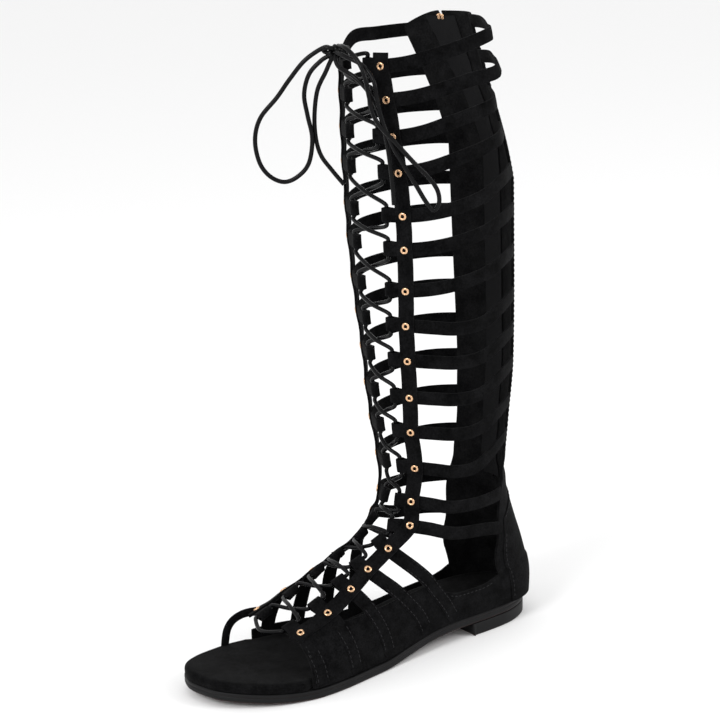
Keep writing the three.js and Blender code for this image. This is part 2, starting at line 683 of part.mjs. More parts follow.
// Loops of the lace at each level: just beyond the ends of the two tabs
const LACE_BEYOND_TAB = 3.4;
function laceTurns(sideName, side) {
  const onShaft = RINGS.map((ring) => {
    const angle = tabAngle(ring, side, LACE_BEYOND_TAB);
    return onLeg(side * angle, ring.bar);
  });
  const onFore = FOOT_STRAPS.map(({ tab: [x, y] }) => onInstep(side, x - LACE_BEYOND_TAB, y));
  return [...onShaft, ...onFore].map(({ p, n }) => p.clone().addScaledVector(n, -0.4));
}

// Radius of the square beads that give the faceted lace the girth of the round one
const LACE_BEAD_RADIUS = 0.56 * LACE_DIAMETER;

// Crossed lacing joined where it crosses, its two top runs stopping short of the knot
function laceGeometry() {
  const bead = Manifold.sphere(LACE_BEAD_RADIUS, 4);
  const run = (from, to) =>
    Manifold.hull([bead.translate(from.toArray()), bead.translate(to.toArray())]);
  const outer = laceTurns('lateral', LATERAL);
  const inner = laceTurns('medial', MEDIAL);
  const pieces = [run(outer.at(-1), inner.at(-1))];
  for (let level = 0; level + 1 < outer.length; level += 1) {
    pieces.push(run(outer[level], inner[level + 1]), run(inner[level], outer[level + 1]));
  }
  const knot = new THREE.Vector3(...KNOT);
  for (const turn of [outer[0], inner[0]]) {
    const clear = KNOT_RADIUS + LACE_DIAMETER / 2 + GAP;
    const stop = knot.clone().add(turn.clone().sub(knot).setLength(clear));
    pieces.push(run(turn, stop));
  }
  return toGeometry(Manifold.union(pieces));
}

const toCurve = (points) => new THREE.CatmullRomCurve3(points.map((point) => new THREE.Vector3(...point)));

const knotGeometry = () => new THREE.SphereGeometry(KNOT_RADIUS, 8, 6).translate(...KNOT);

function studGeometry() {
  const [r, h] = [STUD_RADIUS, STUD_HEIGHT];
  const profile = [[0, 0], [r, 0], [r * 0.78, h * 0.7], [0, h]];
  return new THREE.LatheGeometry(profile.map(([x, y]) => new THREE.Vector2(x, y)), 8);
}

// Zip: tape behind the slot in the back panel, with the chain of teeth standing in the slot
function zipGeometry() {
  const levels = BACK_LEVELS.filter((z) => z > ZIP_BOTTOM_Z);
  const behind = (u, z) => {
    const { p, n } = onBack(u, z);
    return { p: p.addScaledVector(n, -STRAP_THICKNESS - 2.5 * GAP), n };
  };
  const tape = wall([-0.2, 0, 0.2].map((u) => levels.map((z) => behind(u, z))), TAPE_THICKNESS);
  const chain = levels.map((z) => crossSectionAt(z, CHAIN_WIDTH / 2, -STRAP_THICKNESS - 3 * GAP, -GAP));
  return toGeometry(tape.add(toSolid(loft(chain))));
}

// Frame of the zip slider: X across the seam, Y outwards, Z up the seam
function sliderFrame() {
  const { p, n } = onBack(0, SLIDER_Z);
  const up = onBack(0, SLIDER_Z + 4).p.sub(onBack(0, SLIDER_Z - 4).p).normalize();
  const across = new THREE.Vector3().crossVectors(n, up).normalize();
  const outwards = new THREE.Vector3().crossVectors(up, across);
  const frame = new THREE.Matrix4().makeBasis(across, outwards, up);
  return frame.setPosition(p);
}

const boxAt = (width, depth, height, y, z) =>
  toSolid(new THREE.BoxGeometry(width, depth, height).translate(0, y, z));

// Slider plate outside the chain with a bridge that the pull tab hangs from
const SLIDER_PLATE = { width: 8.4, thickness: 1.8, length: 10, depth: 1.5 };
const BRIDGE = { width: 2.2, thickness: 1.2, length: 8, depth: 4.8 };
const BRIDGE_LEG = { height: 3.4, length: 1.6, depth: 3.6, fromMiddle: 3.2 };

function sliderGeometry() {
  const { width, thickness, length, depth } = SLIDER_PLATE;
  const plate = boxAt(width, thickness, length, depth, 0);
  const beam = boxAt(BRIDGE.width, BRIDGE.thickness, BRIDGE.length, BRIDGE.depth, 0);
  const legs = [-BRIDGE_LEG.fromMiddle, BRIDGE_LEG.fromMiddle].map((z) =>
    boxAt(BRIDGE.width, BRIDGE_LEG.height, BRIDGE_LEG.length, BRIDGE_LEG.depth, z));
  return toGeometry(Manifold.union([plate, beam, ...legs])).applyMatrix4(sliderFrame());
}

// Pull tab: its eye has a cross bar under the bridge and a slot around the lower leg.
// Heights are measured from the hinge.
const PULL_PLATE = { width: 5.4, thickness: 1.1, length: 19.6, z: -9.2 };
const PULL_SLOT = { width: 3.2, length: 4.6, z: -2.9 };
const THUMB_HOLE = { width: 2.4, length: 6, z: -14 };
const THROUGH = 3;

function pullGeometry() {
  const { width, thickness, length, z } = PULL_PLATE;
  const plate = boxAt(width, thickness, length, PULL_PIVOT_DEPTH, z);
  const [slot, thumbHole] = [PULL_SLOT, THUMB_HOLE].map((cut) =>
    boxAt(cut.width, THROUGH, cut.length, PULL_PIVOT_DEPTH, cut.z));
  return toGeometry(plate.subtract(slot).subtract(thumbHole)).applyMatrix4(sliderFrame());
}

// Height of a stud over the middle of its bar: clear of the bar where that bends upwards
function studLift(p, n, path) {
  const rises = path.map((place) => {
    const reach = place.p.clone().sub(p);
    const near = reach.length() > 1 && reach.length() < 20;
    return near ? (STUD_RADIUS * reach.dot(n)) / reach.length() : 0;
  });
  return STUD_CLEARANCE + Math.max(0, ...rises);
}

const object = new THREE.Group();

function addPart(name, geometry, colour, roughness, metalness = 0) {
  const material = new THREE.MeshStandardMaterial({ color: colour, roughness, metalness });
  const mesh = new THREE.Mesh(geometry, material);
  mesh.name = name;
  object.add(mesh);
  return mesh;
}

addPart('outsole', outsoleGeometry(), COLOURS.sole, 0.75);
addPart('heel', heelGeometry(), COLOURS.sole, 0.75);
addPart('insole', insoleGeometry(), COLOURS.suede, 0.95);
addPart('upper', upperGeometry(), COLOURS.suede, 0.95);
addPart('lace', laceGeometry(), COLOURS.cord, 0.5);
addPart('lace_knot', knotGeometry(), COLOURS.cord, 0.5);

const BOW = [
  ['lace_loop_medial', LOOP_MEDIAL, 16],
  ['lace_loop_lateral', LOOP_LATERAL, 19],
  ['lace_end_medial', END_MEDIAL, 9],
  ['lace_end_lateral', END_LATERAL, 9],
];
for (const [name, points, steps] of BOW) {
  addPart(name, tube(toCurve(points), steps, LACE_DIAMETER / 2, 8), COLOURS.cord, 0.5);
}

addPart('zip', zipGeometry(), COLOURS.tape, 0.7);
addPart('zip_slider', sliderGeometry(), COLOURS.brass, 0.3, 1);
addPart('zip_pull', pullGeometry(), COLOURS.brass, 0.3, 1);

const stud = studGeometry();
const studAxis = new THREE.Vector3(0, 1, 0);
for (const { name, side } of SIDES) {
  const path = barPath(side);
  barCrossings(side).forEach(({ p, n }, i) => {
    const number = String(i + 1).padStart(2, '0');
    const mesh = addPart(`stud_${name}_${number}`, stud, COLOURS.brass, 0.3, 1);
    mesh.quaternion.setFromUnitVectors(studAxis, n);
    mesh.position.copy(p).addScaledVector(n, BAR_STANDOFF + BAR_THICKNESS + studLift(p, n, path));
  });
}

export default object;
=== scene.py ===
"""Knee-high gladiator sandal in black suede, left shoe: the finished look on the CAD frame."""
import math
from bisect import bisect_right

import bmesh
import bpy
from mathutils import Matrix, Vector


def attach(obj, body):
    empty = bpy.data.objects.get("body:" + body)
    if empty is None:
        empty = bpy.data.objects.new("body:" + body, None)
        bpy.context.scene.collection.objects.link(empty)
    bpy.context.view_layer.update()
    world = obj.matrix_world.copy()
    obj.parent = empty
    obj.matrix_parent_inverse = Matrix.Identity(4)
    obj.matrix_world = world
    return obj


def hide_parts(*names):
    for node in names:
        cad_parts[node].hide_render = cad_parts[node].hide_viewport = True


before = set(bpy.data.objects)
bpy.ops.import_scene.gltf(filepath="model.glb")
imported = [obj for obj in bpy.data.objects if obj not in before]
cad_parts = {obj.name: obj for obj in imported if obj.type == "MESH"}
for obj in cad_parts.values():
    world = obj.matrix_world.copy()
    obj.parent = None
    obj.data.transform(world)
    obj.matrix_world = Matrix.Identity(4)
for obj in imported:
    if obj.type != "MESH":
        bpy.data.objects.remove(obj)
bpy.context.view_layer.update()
MM = 0.001

# ---------------------------------------------------------------- camera
# A long lens at the outer front quarter of the shoe, a little above its middle,
# rolled slightly so that the shaft leans.
azimuth, elevation, roll = math.radians(56.402), math.radians(15.106), math.radians(-2.964)
camera_data = bpy.data.cameras.new("camera")
camera_data.sensor_width = 36
camera_data.lens = 105.14
camera_data.clip_end = 20
camera = bpy.data.objects.new("camera", camera_data)
bpy.context.scene.collection.objects.link(camera)
bpy.context.scene.camera = camera

backwards = Vector((
    math.sin(azimuth) * math.cos(elevation), -math.cos(azimuth) * math.cos(elevation), math.sin(elevation)))
level_right = Vector((math.cos(azimuth), math.sin(azimuth), 0))
level_up = backwards.cross(level_right)
camera_x = level_right * math.cos(roll) + level_up * math.sin(roll)
camera_y = level_up * math.cos(roll) - level_right * math.sin(roll)
camera.matrix_world = Matrix.Translation(Vector((1.05386, -0.78872, 0.53371))) @ Matrix(
    (camera_x, camera_y, backwards)).transposed().to_4x4()

# ---------------------------------------------------------------- bow
# The two ends of the lace are tied in a bow above the top pair of straps. The lace is a
# round waxed cotton cord, so the loops hold open and shine a little along their length.
LACE_RADIUS = 1.4
KNOT = Vector((-10, -88, 383))
LOOP_MEDIAL = [
    (-10.5, -89.5, 384.4), (-14.6, -93, 385.9), (-21, -103, 379), (-27, -111, 368), (-32, -118, 357),
    (-38, -127, 345), (-40, -130.5, 332), (-39, -129, 318), (-36, -124, 309), (-31, -117, 305),
    (-26, -110, 308), (-22, -104, 316), (-20.5, -101.5, 331), (-22, -103, 345), (-23, -104, 358),
    (-21, -101, 370), (-17, -95, 377.5), (-13.6, -91, 380.6), (-10.5, -89, 382.4),
]
END_MEDIAL = [
    (-9.6, -89.6, 381.4), (-11.4, -91.4, 377.4), (-14.4, -93.2, 371), (-19.5, -96.5, 360),
    (-21.5, -98.3, 345), (-21.5, -98.3, 331), (-19.5, -96.5, 320), (-14.5, -92.5, 311), (-8.5, -88, 302),
]
LOOP_LATERAL = [
    (-5.8, -88.7, 387), (5, -90.5, 386.5), (15, -89.5, 380), (20.5, -88.5, 371), (23, -88, 360),
    (25, -87, 349), (28.5, -84.5, 341), (35.5, -79.5, 332), (43.6, -71.6, 319), (48, -65.5, 311),
    (50.5, -60.5, 302), (50.5, -59.5, 294), (48, -61.5, 289.5), (45.5, -65, 294), (42, -69.8, 305),
    (38, -75, 317), (33.5, -79.5, 329), (29, -83, 344), (26, -84, 357), (23, -84, 368),
    (15, -86, 376.5), (4, -90.5, 381.5), (-5, -90.6, 383.1),
]
END_LATERAL = [
    (-8.4, -89.8, 381), (-4.6, -91.6, 377.6), (1, -92.5, 374.5), (10, -89.5, 370), (17, -85.8, 363),
    (22, -82.8, 354), (25.5, -81.2, 344), (28.3, -80.4, 333), (29.8, -79.6, 319), (30.6, -79, 305),
    (30.6, -78.6, 293),
]


def curve_through(points, steps=8):
    """Points of a smooth curve through the given ones."""
    points = [Vector(point) for point in points]
    padded = [2 * points[0] - points[1], *points, 2 * points[-1] - points[-2]]
    smooth = []
    for i in range(len(points) - 1):
        a, b, c, d = padded[i:i + 4]
        for k in range(steps):
            t = k / steps
            smooth.append(0.5 * (2 * b + (c - a) * t + (2 * a - 5 * b + 4 * c - d) * t ** 2
                                 + (3 * b - a - 3 * c + d) * t ** 3))
    smooth.append(points[-1])
    return smooth


def new_material(name, **shader_values):
    """A node material, its shader and a function that adds a node, both with sockets set."""
    material = bpy.data.materials.new(name)
    material.use_nodes = True
    tree = material.node_tree
    shader = tree.nodes["Principled BSDF"]
    for key, value in shader_values.items():
        shader.inputs[key.replace("_", " ")].default_value = value

    def add(kind, links=(), **values):
        node = tree.nodes.new(kind)
        for key, value in values.items():
            if hasattr(node, key):
                setattr(node, key, value)
            else:
                node.inputs[key.replace("_", " ")].default_value = value
        for source, socket in links:
            tree.links.new(source, node.inputs[socket])
        return node

    return material, tree, shader, add


def texture(add, kind, **values):
    """The value of a texture that is laid through a piece in its own coordinates."""
    place = add("ShaderNodeTexCoord").outputs["Object"]
    outputs = add("ShaderNodeTex" + kind, [(place, "Vector")], **values).outputs
    return outputs["Distance" if kind == "Voronoi" else "Fac"]


def paint(tree, shader, add, share, dark, light):
    """Colours a shader between a dark and a light tone, and gives back the mixed colour."""
    colour = add("ShaderNodeMix", [(share, "Factor")], data_type="RGBA")
    colour.inputs[6].default_value = (*dark, 1)
    colour.inputs[7].default_value = (*light, 1)
    tree.links.new(colour.outputs[2], shader.inputs["Base Color"])
    return colour.outputs[2]


def link_bump(tree, shader, add, height, strength, distance):
    bump = add("ShaderNodeBump", [(height, "Height")], Strength=strength, Distance=distance)
    tree.links.new(bump.outputs["Normal"], shader.inputs["Normal"])


def waxed_cord():
    """Black waxed cotton: a tight fine plait under a dull film of wax."""
    material, tree, shader, add = new_material("waxed_cord", Specular_IOR_Level=0.11)
    plait = texture(add, "Voronoi", Scale=1500.0)
    wax = texture(add, "Noise", Scale=160.0, Detail=4.0)
    paint(tree, shader, add, wax, (0.001, 0.001, 0.0012), (0.005, 0.005, 0.0055))
    rough = add("ShaderNodeMapRange", [(wax, "Value")], To_Min=0.16, To_Max=0.34)
    tree.links.new(rough.outputs["Result"], shader.inputs["Roughness"])
    link_bump(tree, shader, add, plait, 0.15, 0.0002)
    return material


CORD_FINISH = waxed_cord()


def round_cord(name, points, radius, closed=False):
    """A cord as one smooth spline with a round section."""
    data = bpy.data.curves.new(name, "CURVE")
    data.dimensions = "3D"
    data.bevel_depth = radius * MM
    data.bevel_resolution = 4
    data.use_fill_caps = True
    spline = data.splines.new("POLY")
    spline.points.add(len(points) - 1)
    for spline_point, point in zip(spline.points, points):
        spline_point.co = (*(point * MM), 1)
    spline.use_cyclic_u = closed
    spline.use_smooth = True
    data.materials.append(CORD_FINISH)
    piece = bpy.data.objects.new(name, data)
    bpy.context.scene.collection.objects.link(piece)
    return piece


# The knot: a flat overhand turn of the two ends, bound round its waist
TURN_REACH, TURN_HEIGHT, TURN_DEPTH = 7.0, 2.7, 1.9
BAND_HEIGHT, BAND_DEPTH = 3.4, 3.2
KNOT_STEPS = 96


def about_knot(sideways, up, deep):
    return KNOT + level_right * sideways + Vector((0, 0, up)) + backwards * deep


overhand, band = [], []
for step in range(KNOT_STEPS):
    turn = 2 * math.pi * step / KNOT_STEPS
    reach = (math.sin(turn) + 2 * math.sin(2 * turn)) / 2.6
    waist = 0.7 + 0.3 * abs(reach)
    up = (math.cos(turn) - 2 * math.cos(2 * turn) + 0.5) / 2.5
    overhand.append(about_knot(TURN_REACH * reach, TURN_HEIGHT * up * waist,
                               TURN_DEPTH * math.sin(3 * turn) * waist))
    band.append(about_knot(0.9 * math.sin(turn - 0.6), BAND_HEIGHT * math.cos(turn),
                           BAND_DEPTH * math.sin(turn)))
knot = round_cord("lace_knot_turn", overhand, LACE_RADIUS, closed=True)
knot_band = round_cord("lace_knot_band", band, LACE_RADIUS, closed=True)
for piece in (knot, knot_band):
    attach(piece, "sandal")
    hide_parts("lace_knot")

for node, route, far_end, on_it in (
    ("lace_loop_medial", LOOP_MEDIAL, "object", []),
    ("lace_loop_lateral", LOOP_LATERAL, "object", [knot]),
    ("lace_end_medial", END_MEDIAL, "bare", []),
    ("lace_end_lateral", END_LATERAL, "bare", []),
):
    points = curve_through(route)
    piece = round_cord(node + "_cord", points, LACE_RADIUS)
    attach(piece, "sandal")
    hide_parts(node)

# ---------------------------------------------------------------- bars
# Two long suede straps run down beside the lacing from the knee to the toes. Each lies
# over the ring straps and the foot straps, and is riveted to every one that it crosses.
LEG = {
    "z": (12, 30, 50, 70, 85, 98, 110, 140, 180, 250, 320, 350, 410),
    "centre": (-4, -7, -14, -21, -25, -27.5, -28, -28.3, -27.7, -27.8, -27.8, -27.8, -27.8),
    "front": (-180, -165, -139, -103, -83, -73.5, -71, -74, -77, -79, -80, -80, -80),
    "back": (29.5, 31, 27.3, 21, 16.3, 14, 13.3, 15.5, 20, 21.8, 22.8, 21.5, 18),
    "half": (28.5, 29.5, 29.5, 30.5, 32.5, 34.5, 36, 40.5, 44.6, 48.6, 50.6, 49.5, 46.5),
}
OUTLINE = {
    "at": (0, 0.02, 0.06, 0.12, 0.2, 0.3, 0.4, 0.5, 0.6, 0.68, 0.74, 0.8, 0.86, 0.91, 0.95, 0.98, 1),
    "lateral": (0, 12, 21, 27, 29, 30, 32.5, 36.5, 41, 44.5, 45.5, 43.5, 38.5, 31, 22.5, 12.5, -8),
    "medial": (0, 12, 21.5, 27.5, 29, 27, 25.5, 27.5, 34, 40, 42.5, 42.5, 39.5, 35.5, 30, 23, 8),
}
INSTEP = {
    "y": (-215, -200, -185, -170, -158, -139, -120, -104, -92, -80, -73, -65, -50, -30, -5),
    "ridge": (24, 28, 32, 37, 41.5, 51, 61.5, 70.5, 77, 87, 98, 120, 170, 260, 400),
}
RINGS = (
    {"bar": 375.4, "side": 9, "back": 18.3, "inner_side": 10.6, "inner": 11, "bars": (24, 44),
     "inner_tab": 30},
    {"bar": 355.2, "side": 8, "back": 16.8, "inner": 6, "bars": (27, 44), "inner_tab": 30},
    {"bar": 332.9, "side": 9.5, "back": 17, "inner": 5, "bars": (30, 44), "inner_tab": 30},
    {"bar": 311.1, "side": 8.5, "back": 17, "inner": 5, "bars": (33, 44), "inner_tab": 30},
    {"bar": 284.6, "side": 5, "back": 18, "inner": 5, "bars": (34.5, 43.5), "inner_tab": 30},
    {"bar": 263.5, "side": 4.5, "back": 14, "inner": 5, "bars": (34.5, 43), "inner_tab": 29.5},
    {"bar": 237.6, "side": 4, "back": 14, "inner": 4, "bars": (34, 42), "inner_tab": 29.5},
    {"bar": 215.3, "side": -3.7, "back": 8, "inner": 3, "bars": (33, 40), "inner_tab": 28.5},
    {"bar": 192.7, "side": -3.1, "back": 8, "inner": 3, "bars": (33, 38), "inner_tab": 27.5},
    {"bar": 168.7, "side": -3.2, "back": 9.5, "inner": 3, "bars": (33, 37), "inner_tab": 27.5},
    {"bar": 145.6, "side": -3.4, "back": 8, "inner": 2, "bars": (32, 36.5), "inner_tab": 27.3},
    {"bar": 121.1, "side": -4.9, "back": 9, "inner": 1, "bars": (33, 36.5), "inner_tab": 26.3},
    {"bar": 98.5, "side": -6.8, "back": -6.5, "inner": -7, "bars": (31, 31), "inner_tab": 20.8},
    {"bar": 84, "side": -11, "back": -15, "inner": -15, "bars": (39, 39), "inner_tab": 20},
)
HEEL_BACK_Y, SHOE_LENGTH = 30, 252
UPPER_INSET = 1
# Above the calf the inner front grows fuller than an ellipse: heights from and to, power
INNER_FRONT = 190, 250, 0.816
SIDE_WALL_BASE, SIDE_WALL_POWER = 12, 2.3
HEEL_POWER, SHAFT_POWER, HEEL_TOP = 2.3, 2.1, 40
LATERAL, MEDIAL = 1, -1
SIDE_ANGLE, BACK_ANGLE = {LATERAL: 80, MEDIAL: 62}, 128


def look_up(table, key, column, at):
    """Reads a column of a table on a monotone cubic through its rows."""
    keys, values = table[key], table[column]
    if at <= keys[0]:
        return values[0]
    if at >= keys[-1]:
        return values[-1]
    slopes = [(values[k + 1] - values[k]) / (keys[k + 1] - keys[k]) for k in range(len(keys) - 1)]

    def tangent(k):
        before, after = slopes[max(0, k - 1)], slopes[min(k, len(slopes) - 1)]
        return 0 if before * after <= 0 else 2 * before * after / (before + after)

    i = bisect_right(keys, at) - 1
    span = keys[i + 1] - keys[i]
    t = (at - keys[i]) / span
    return ((2 * t ** 3 - 3 * t ** 2 + 1) * values[i] + (t ** 3 - 2 * t ** 2 + t) * span * tangent(i)
            + (3 * t ** 2 - 2 * t ** 3) * values[i + 1] + (t ** 3 - t ** 2) * span * tangent(i + 1))


def clamp(value):
    return min(1.0, max(0.0, value))


def mix(start, end, share):
    return start + (end - start) * share


def outline_half(side, y):
    return look_up(OUTLINE, "at", "lateral" if side > 0 else "medial", (HEEL_BACK_Y - y) / SHOE_LENGTH)


def leg_point(angle, z):
    """Outer face of the upper round the leg, at an angle from the front."""
    centre, half = look_up(LEG, "z", "centre", z), look_up(LEG, "z", "half", z)
    turn = math.radians(angle)
    along, across = math.cos(turn), math.sin(turn)
    if along > 0:
        depth = centre - look_up(LEG, "z", "front", z)
        fuller = clamp((z - INNER_FRONT[0]) / (INNER_FRONT[1] - INNER_FRONT[0]))
        power = mix(1, INNER_FRONT[2], fuller) if across < 0 else 1
    else:
        depth = look_up(LEG, "z", "back", z) - centre
        power = 2 / (HEEL_POWER if z < HEEL_TOP else SHAFT_POWER)
    return Vector((math.copysign(half * abs(across) ** power, across),
                   centre - math.copysign(depth * abs(along) ** power, along), z))


def foot_half(side, y, z):
    """Half width of the last beside the foot, in side view."""
    skin = outline_half(side, y) - UPPER_INSET
    heel_skin = outline_half(side, look_up(LEG, "z", "centre", z)) - UPPER_INSET
    rise = clamp((z - SIDE_WALL_BASE) / (look_up(INSTEP, "y", "ridge", y) - SIDE_WALL_BASE))
    drop = (1 - rise ** SIDE_WALL_POWER) ** (1 / SIDE_WALL_POWER)
    return skin * drop * mix(1, look_up(LEG, "z", "half", z) / heel_skin, clamp((y + 90) / 30))


def foot_top(side, x, y):
    """Height of the last over the instep."""
    low, high = SIDE_WALL_BASE, look_up(INSTEP, "y", "ridge", y)
    for _ in range(22):
        middle = (low + high) / 2
        if foot_half(side, y, middle) > x:
            low = middle
        else:
            high = middle
    return (low + high) / 2


def place_on(surface, a, b, step_a, step_b, hint):
    """A place on the last and its outward normal."""
    along_a = surface(a + step_a, b) - surface(a - step_a, b)
    along_b = surface(a, b + step_b) - surface(a, b - step_b)
    p = surface(a, b)
    n = along_a.cross(along_b).normalized()
    return p, (-n if n.dot(hint(p)) < 0 else n)


def from_leg(p):
    return Vector((p.x, p.y - look_up(LEG, "z", "centre", p.z), 0))


def from_foot(p):
    return Vector((p.x, 0, p.z - 15))


def on_leg(angle, z):
    return place_on(leg_point, angle, z, 2, 2, from_leg)


def on_foot(side, y, z):
    return place_on(lambda v, w: Vector((side * foot_half(side, v, w), v, w)), y, z, 1, 1, from_foot)


def on_instep(side, x, y):
    return place_on(lambda u, v: Vector((side * u, v, foot_top(side, u, v))), x, y, 1, 1, from_foot)


class Route:
    """A line of places on the last, measured in millimetres from its start."""

    def __init__(self, places, steps=10):
        self.points = curve_through([p for p, _ in places], steps)
        self.normals = [n.normalized() for n in curve_through([n for _, n in places], steps)]
        self.reach = [0]
        for a, b in zip(self.points, self.points[1:]):
            self.reach.append(self.reach[-1] + (b - a).length)
        self.length = self.reach[-1]

    def at(self, s):
        """Place, normal and direction along the line."""
        i = min(max(bisect_right(self.reach, s) - 1, 0), len(self.points) - 2)
        t = (s - self.reach[i]) / (self.reach[i + 1] - self.reach[i])
        a, b = self.points[i], self.points[i + 1]
        return a.lerp(b, t), self.normals[i].lerp(self.normals[i + 1], t).normalized(), (b - a).normalized()


def ring_height(ring, side, angle):
    """Height of the outer or inner run of a ring strap at an angle from the front."""
    bar, middle, end = ring["bar"], ring["side"], ring["back"]
    if side == MEDIAL:
        middle, end = ring.get("inner_side", ring["inner"] / 2), ring["inner"]
    rows = {"angle": (0, bar_angle(ring, side), SIDE_ANGLE[side], BACK_ANGLE, 180),
            "z": (bar, bar, bar + middle, bar + end, bar + end)}
    return look_up(rows, "angle", "z", angle)


def bar_angle(ring, side):
    return ring["bars"][0 if side > 0 else 1]


FOOT_CROSSINGS = ((-87.4, 71.9), (-104.7, 62.8), (-120, 54.3), (-139.8, 44.5), (-160, 36.6))


def crossings(side):
    """Places where a bar crosses the ring straps and the foot straps."""
    on_shaft = [on_leg(side * bar_angle(ring, side), ring_height(ring, side, bar_angle(ring, side)))
                for ring in RINGS]
    return on_shaft + [on_foot(side, y, z) for y, z in FOOT_CROSSINGS]


def bar_route(side):
    top = on_leg(side * bar_angle(RINGS[0], side), RINGS[0]["bar"] + 8)
    return Route([top, *crossings(side), on_foot(side, -165, 34)])


def suede(name, dark, light, nap=1.0):
    """Brushed leather: short nap that catches light in soft patches."""
    material, tree, shader, add = new_material(
        name, Roughness=0.92, Specular_IOR_Level=0.03, Sheen_Weight=0.022 * nap, Sheen_Roughness=0.5)
    patches = texture(add, "Noise", Scale=90.0, Detail=6.0, Roughness=0.7)
    fibres = texture(add, "Noise", Scale=1000.0, Detail=4.0, Roughness=0.75)
    both = add("ShaderNodeMath", [(patches, 0), (fibres, 1)], operation="MULTIPLY")
    spread = add("ShaderNodeMapRange", [(both.outputs[0], "Value")], From_Min=0.16, From_Max=0.38)
    paint(tree, shader, add, spread.outputs["Result"], dark, light)
    link_bump(tree, shader, add, both.outputs[0], 0.8 * nap, 0.0005)
    return material


BLACK_SUEDE = suede("black_suede", (0.0008, 0.0008, 0.0009), (0.0075, 0.0075, 0.0081))


def add_grid(bm, rows, outward):
    """A sheet of faces through rows of points, facing outwards."""
    verts = [[bm.verts.new(point * MM) for point in row] for row in rows]
    faces = [bm.faces.new((a[k], a[k + 1], b[k + 1], b[k]))
             for a, b in zip(verts, verts[1:]) for k in range(len(a) - 1)]
    middle = faces[len(faces) // 2]
    middle.normal_update()
    if middle.normal.dot(outward) < 0:
        bmesh.ops.reverse_faces(bm, faces=faces)
    return verts


def strap_rows(route, width, profile, crown=0.25, columns=7):
    """Rows of points across a strap, from pairs of distance along the route and height."""
    rows = []
    for s, height in profile:
        p, n, along = route.at(s)
        across = along.cross(n).normalized()
        shares = [k / (columns - 1) * 2 - 1 for k in range(columns)]
        rows.append([p + across * (0.5 * width * share) + n * (height + crown * (1 - share ** 2))
                     for share in shares])
    return rows


def finish_piece(name, bm, finish, replaced, thickness=0.0, rounding=0.0, body="sandal"):
    """Turns a mesh into a piece of the sandal, with a thickness inwards and rounded edges."""
    mesh = bpy.data.meshes.new(name)
    bm.to_mesh(mesh)
    bm.free()
    mesh.shade_smooth()
    mesh.materials.append(finish)
    piece = bpy.data.objects.new(name, mesh)
    bpy.context.scene.collection.objects.link(piece)
    if thickness:
        wall = piece.modifiers.new("wall", "SOLIDIFY")
        wall.thickness = thickness * MM
        wall.offset = -1
    if rounding:
        edge = piece.modifiers.new("edge", "BEVEL")
        edge.width = rounding * MM
        edge.segments = 2
        edge.limit_method = "ANGLE"
        edge.angle_limit = math.radians(50)
        edge.harden_normals = True
    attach(piece, body)
    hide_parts(*replaced)
    return piece


BAR_WIDTH, BAR_TOP, BAR_THICKNESS = 9.8, 1.1, 1.7
# Between two rivets the bar sinks by this much, from and over these distances
BAR_SINK, SINK_FROM, SINK_OVER = 0.55, 3, 6
BAR_STATION = 1.8
bm = bmesh.new()
for side in (LATERAL, MEDIAL):
    route = bar_route(side)
    rivets = [min(range(len(route.points)), key=lambda i: (route.points[i] - p).length)
              for p, _ in crossings(side)]
    rivet_reach = [route.reach[i] for i in rivets]
    profile = []
    steps = int(route.length / BAR_STATION)
    for k in range(steps + 1):
        s = route.length * k / steps
        nearest = min(abs(s - reach) for reach in rivet_reach)
        profile.append((s, BAR_TOP - BAR_SINK * clamp((nearest - SINK_FROM) / SINK_OVER)))
    rows = strap_rows(route, BAR_WIDTH, profile)
    add_grid(bm, rows, route.at(route.length / 2)[1])
finish_piece("bars", bm, BLACK_SUEDE, ["upper"], BAR_THICKNESS, 0.45)

# ---------------------------------------------------------------- ring straps
# Fourteen suede straps on each side go round the leg from the lacing to the back panel.
# At the front the end of each is folded back on itself, as a tunnel for the lace.
STRAP_WIDTH, STRAP_THICKNESS = 8.6, 1.3
OUTER_TAB = 16
FOLD_RADIUS, FOLD_DEPTH = 2.8, 1.5
# A strap leaves the leg this many degrees before the panel, and more where the panel sank
PANEL_LEAD, SUNK_LEAD = 10, {LATERAL: 12, MEDIAL: 32}
RING_STEP, STRAP_LAP = 19, 0.84
# From the end of the fold the strap lies flat, and dips under the panel at its other end
FLAT_FROM, STATION = 11.0, 2.2
TUCK_DEPTH, TUCK_FROM, TUCK_OVER = -0.55, 9, 7
BACK_EDGE = {
    "z": (12, 37, 50, 63, 85, 107, 141, 410),
    "angle": (90, 89, 85, 75, 63, 48, 41, 40),
}
# The empty top of the back panel has sunk forwards and to the inner side, and its outer
# half has curled in: (height it starts at, power, x, y of the edge at the top)
SHAFT_TOP_Z = 399
SLACK_SEAM, SLACK_OUTER, SLACK_INNER = (312, 1.3, -21, 0), (296, 1.15, 2.5, 5.5), (312, 1.3, -50, -14)
INNER_BOW, OUTER_CURL = 4, 34


def sinking(slack, z):
    return clamp((z - slack[0]) / (SHAFT_TOP_Z - slack[0])) ** slack[1]


def back_point(u, z):
    """Back panel: u is 1 at its outer edge, 0 at the zip and -1 at its inner edge."""
    worn = leg_point(180 - u * look_up(BACK_EDGE, "z", "angle", z), z)
    share = abs(u)
    edge = SLACK_OUTER if u > 0 else SLACK_INNER
    sunk = mix(sinking(SLACK_SEAM, z), sinking(edge, z), share)
    bow = OUTER_CURL * share ** 2 * (1 - share) if u > 0 else INNER_BOW * share * (1 - share)
    slack = Vector((mix(SLACK_SEAM[2], edge[2], share),
                    mix(SLACK_SEAM[3], edge[3], share ** 2 if u > 0 else share) + bow, z))
    return worn.lerp(slack, sunk)


def from_seam(p):
    return Vector((0, 1, 0)) + 1.2 * from_leg(p).normalized()


def on_back(u, z):
    return place_on(back_point, u, z, 0.03, 2, from_seam)


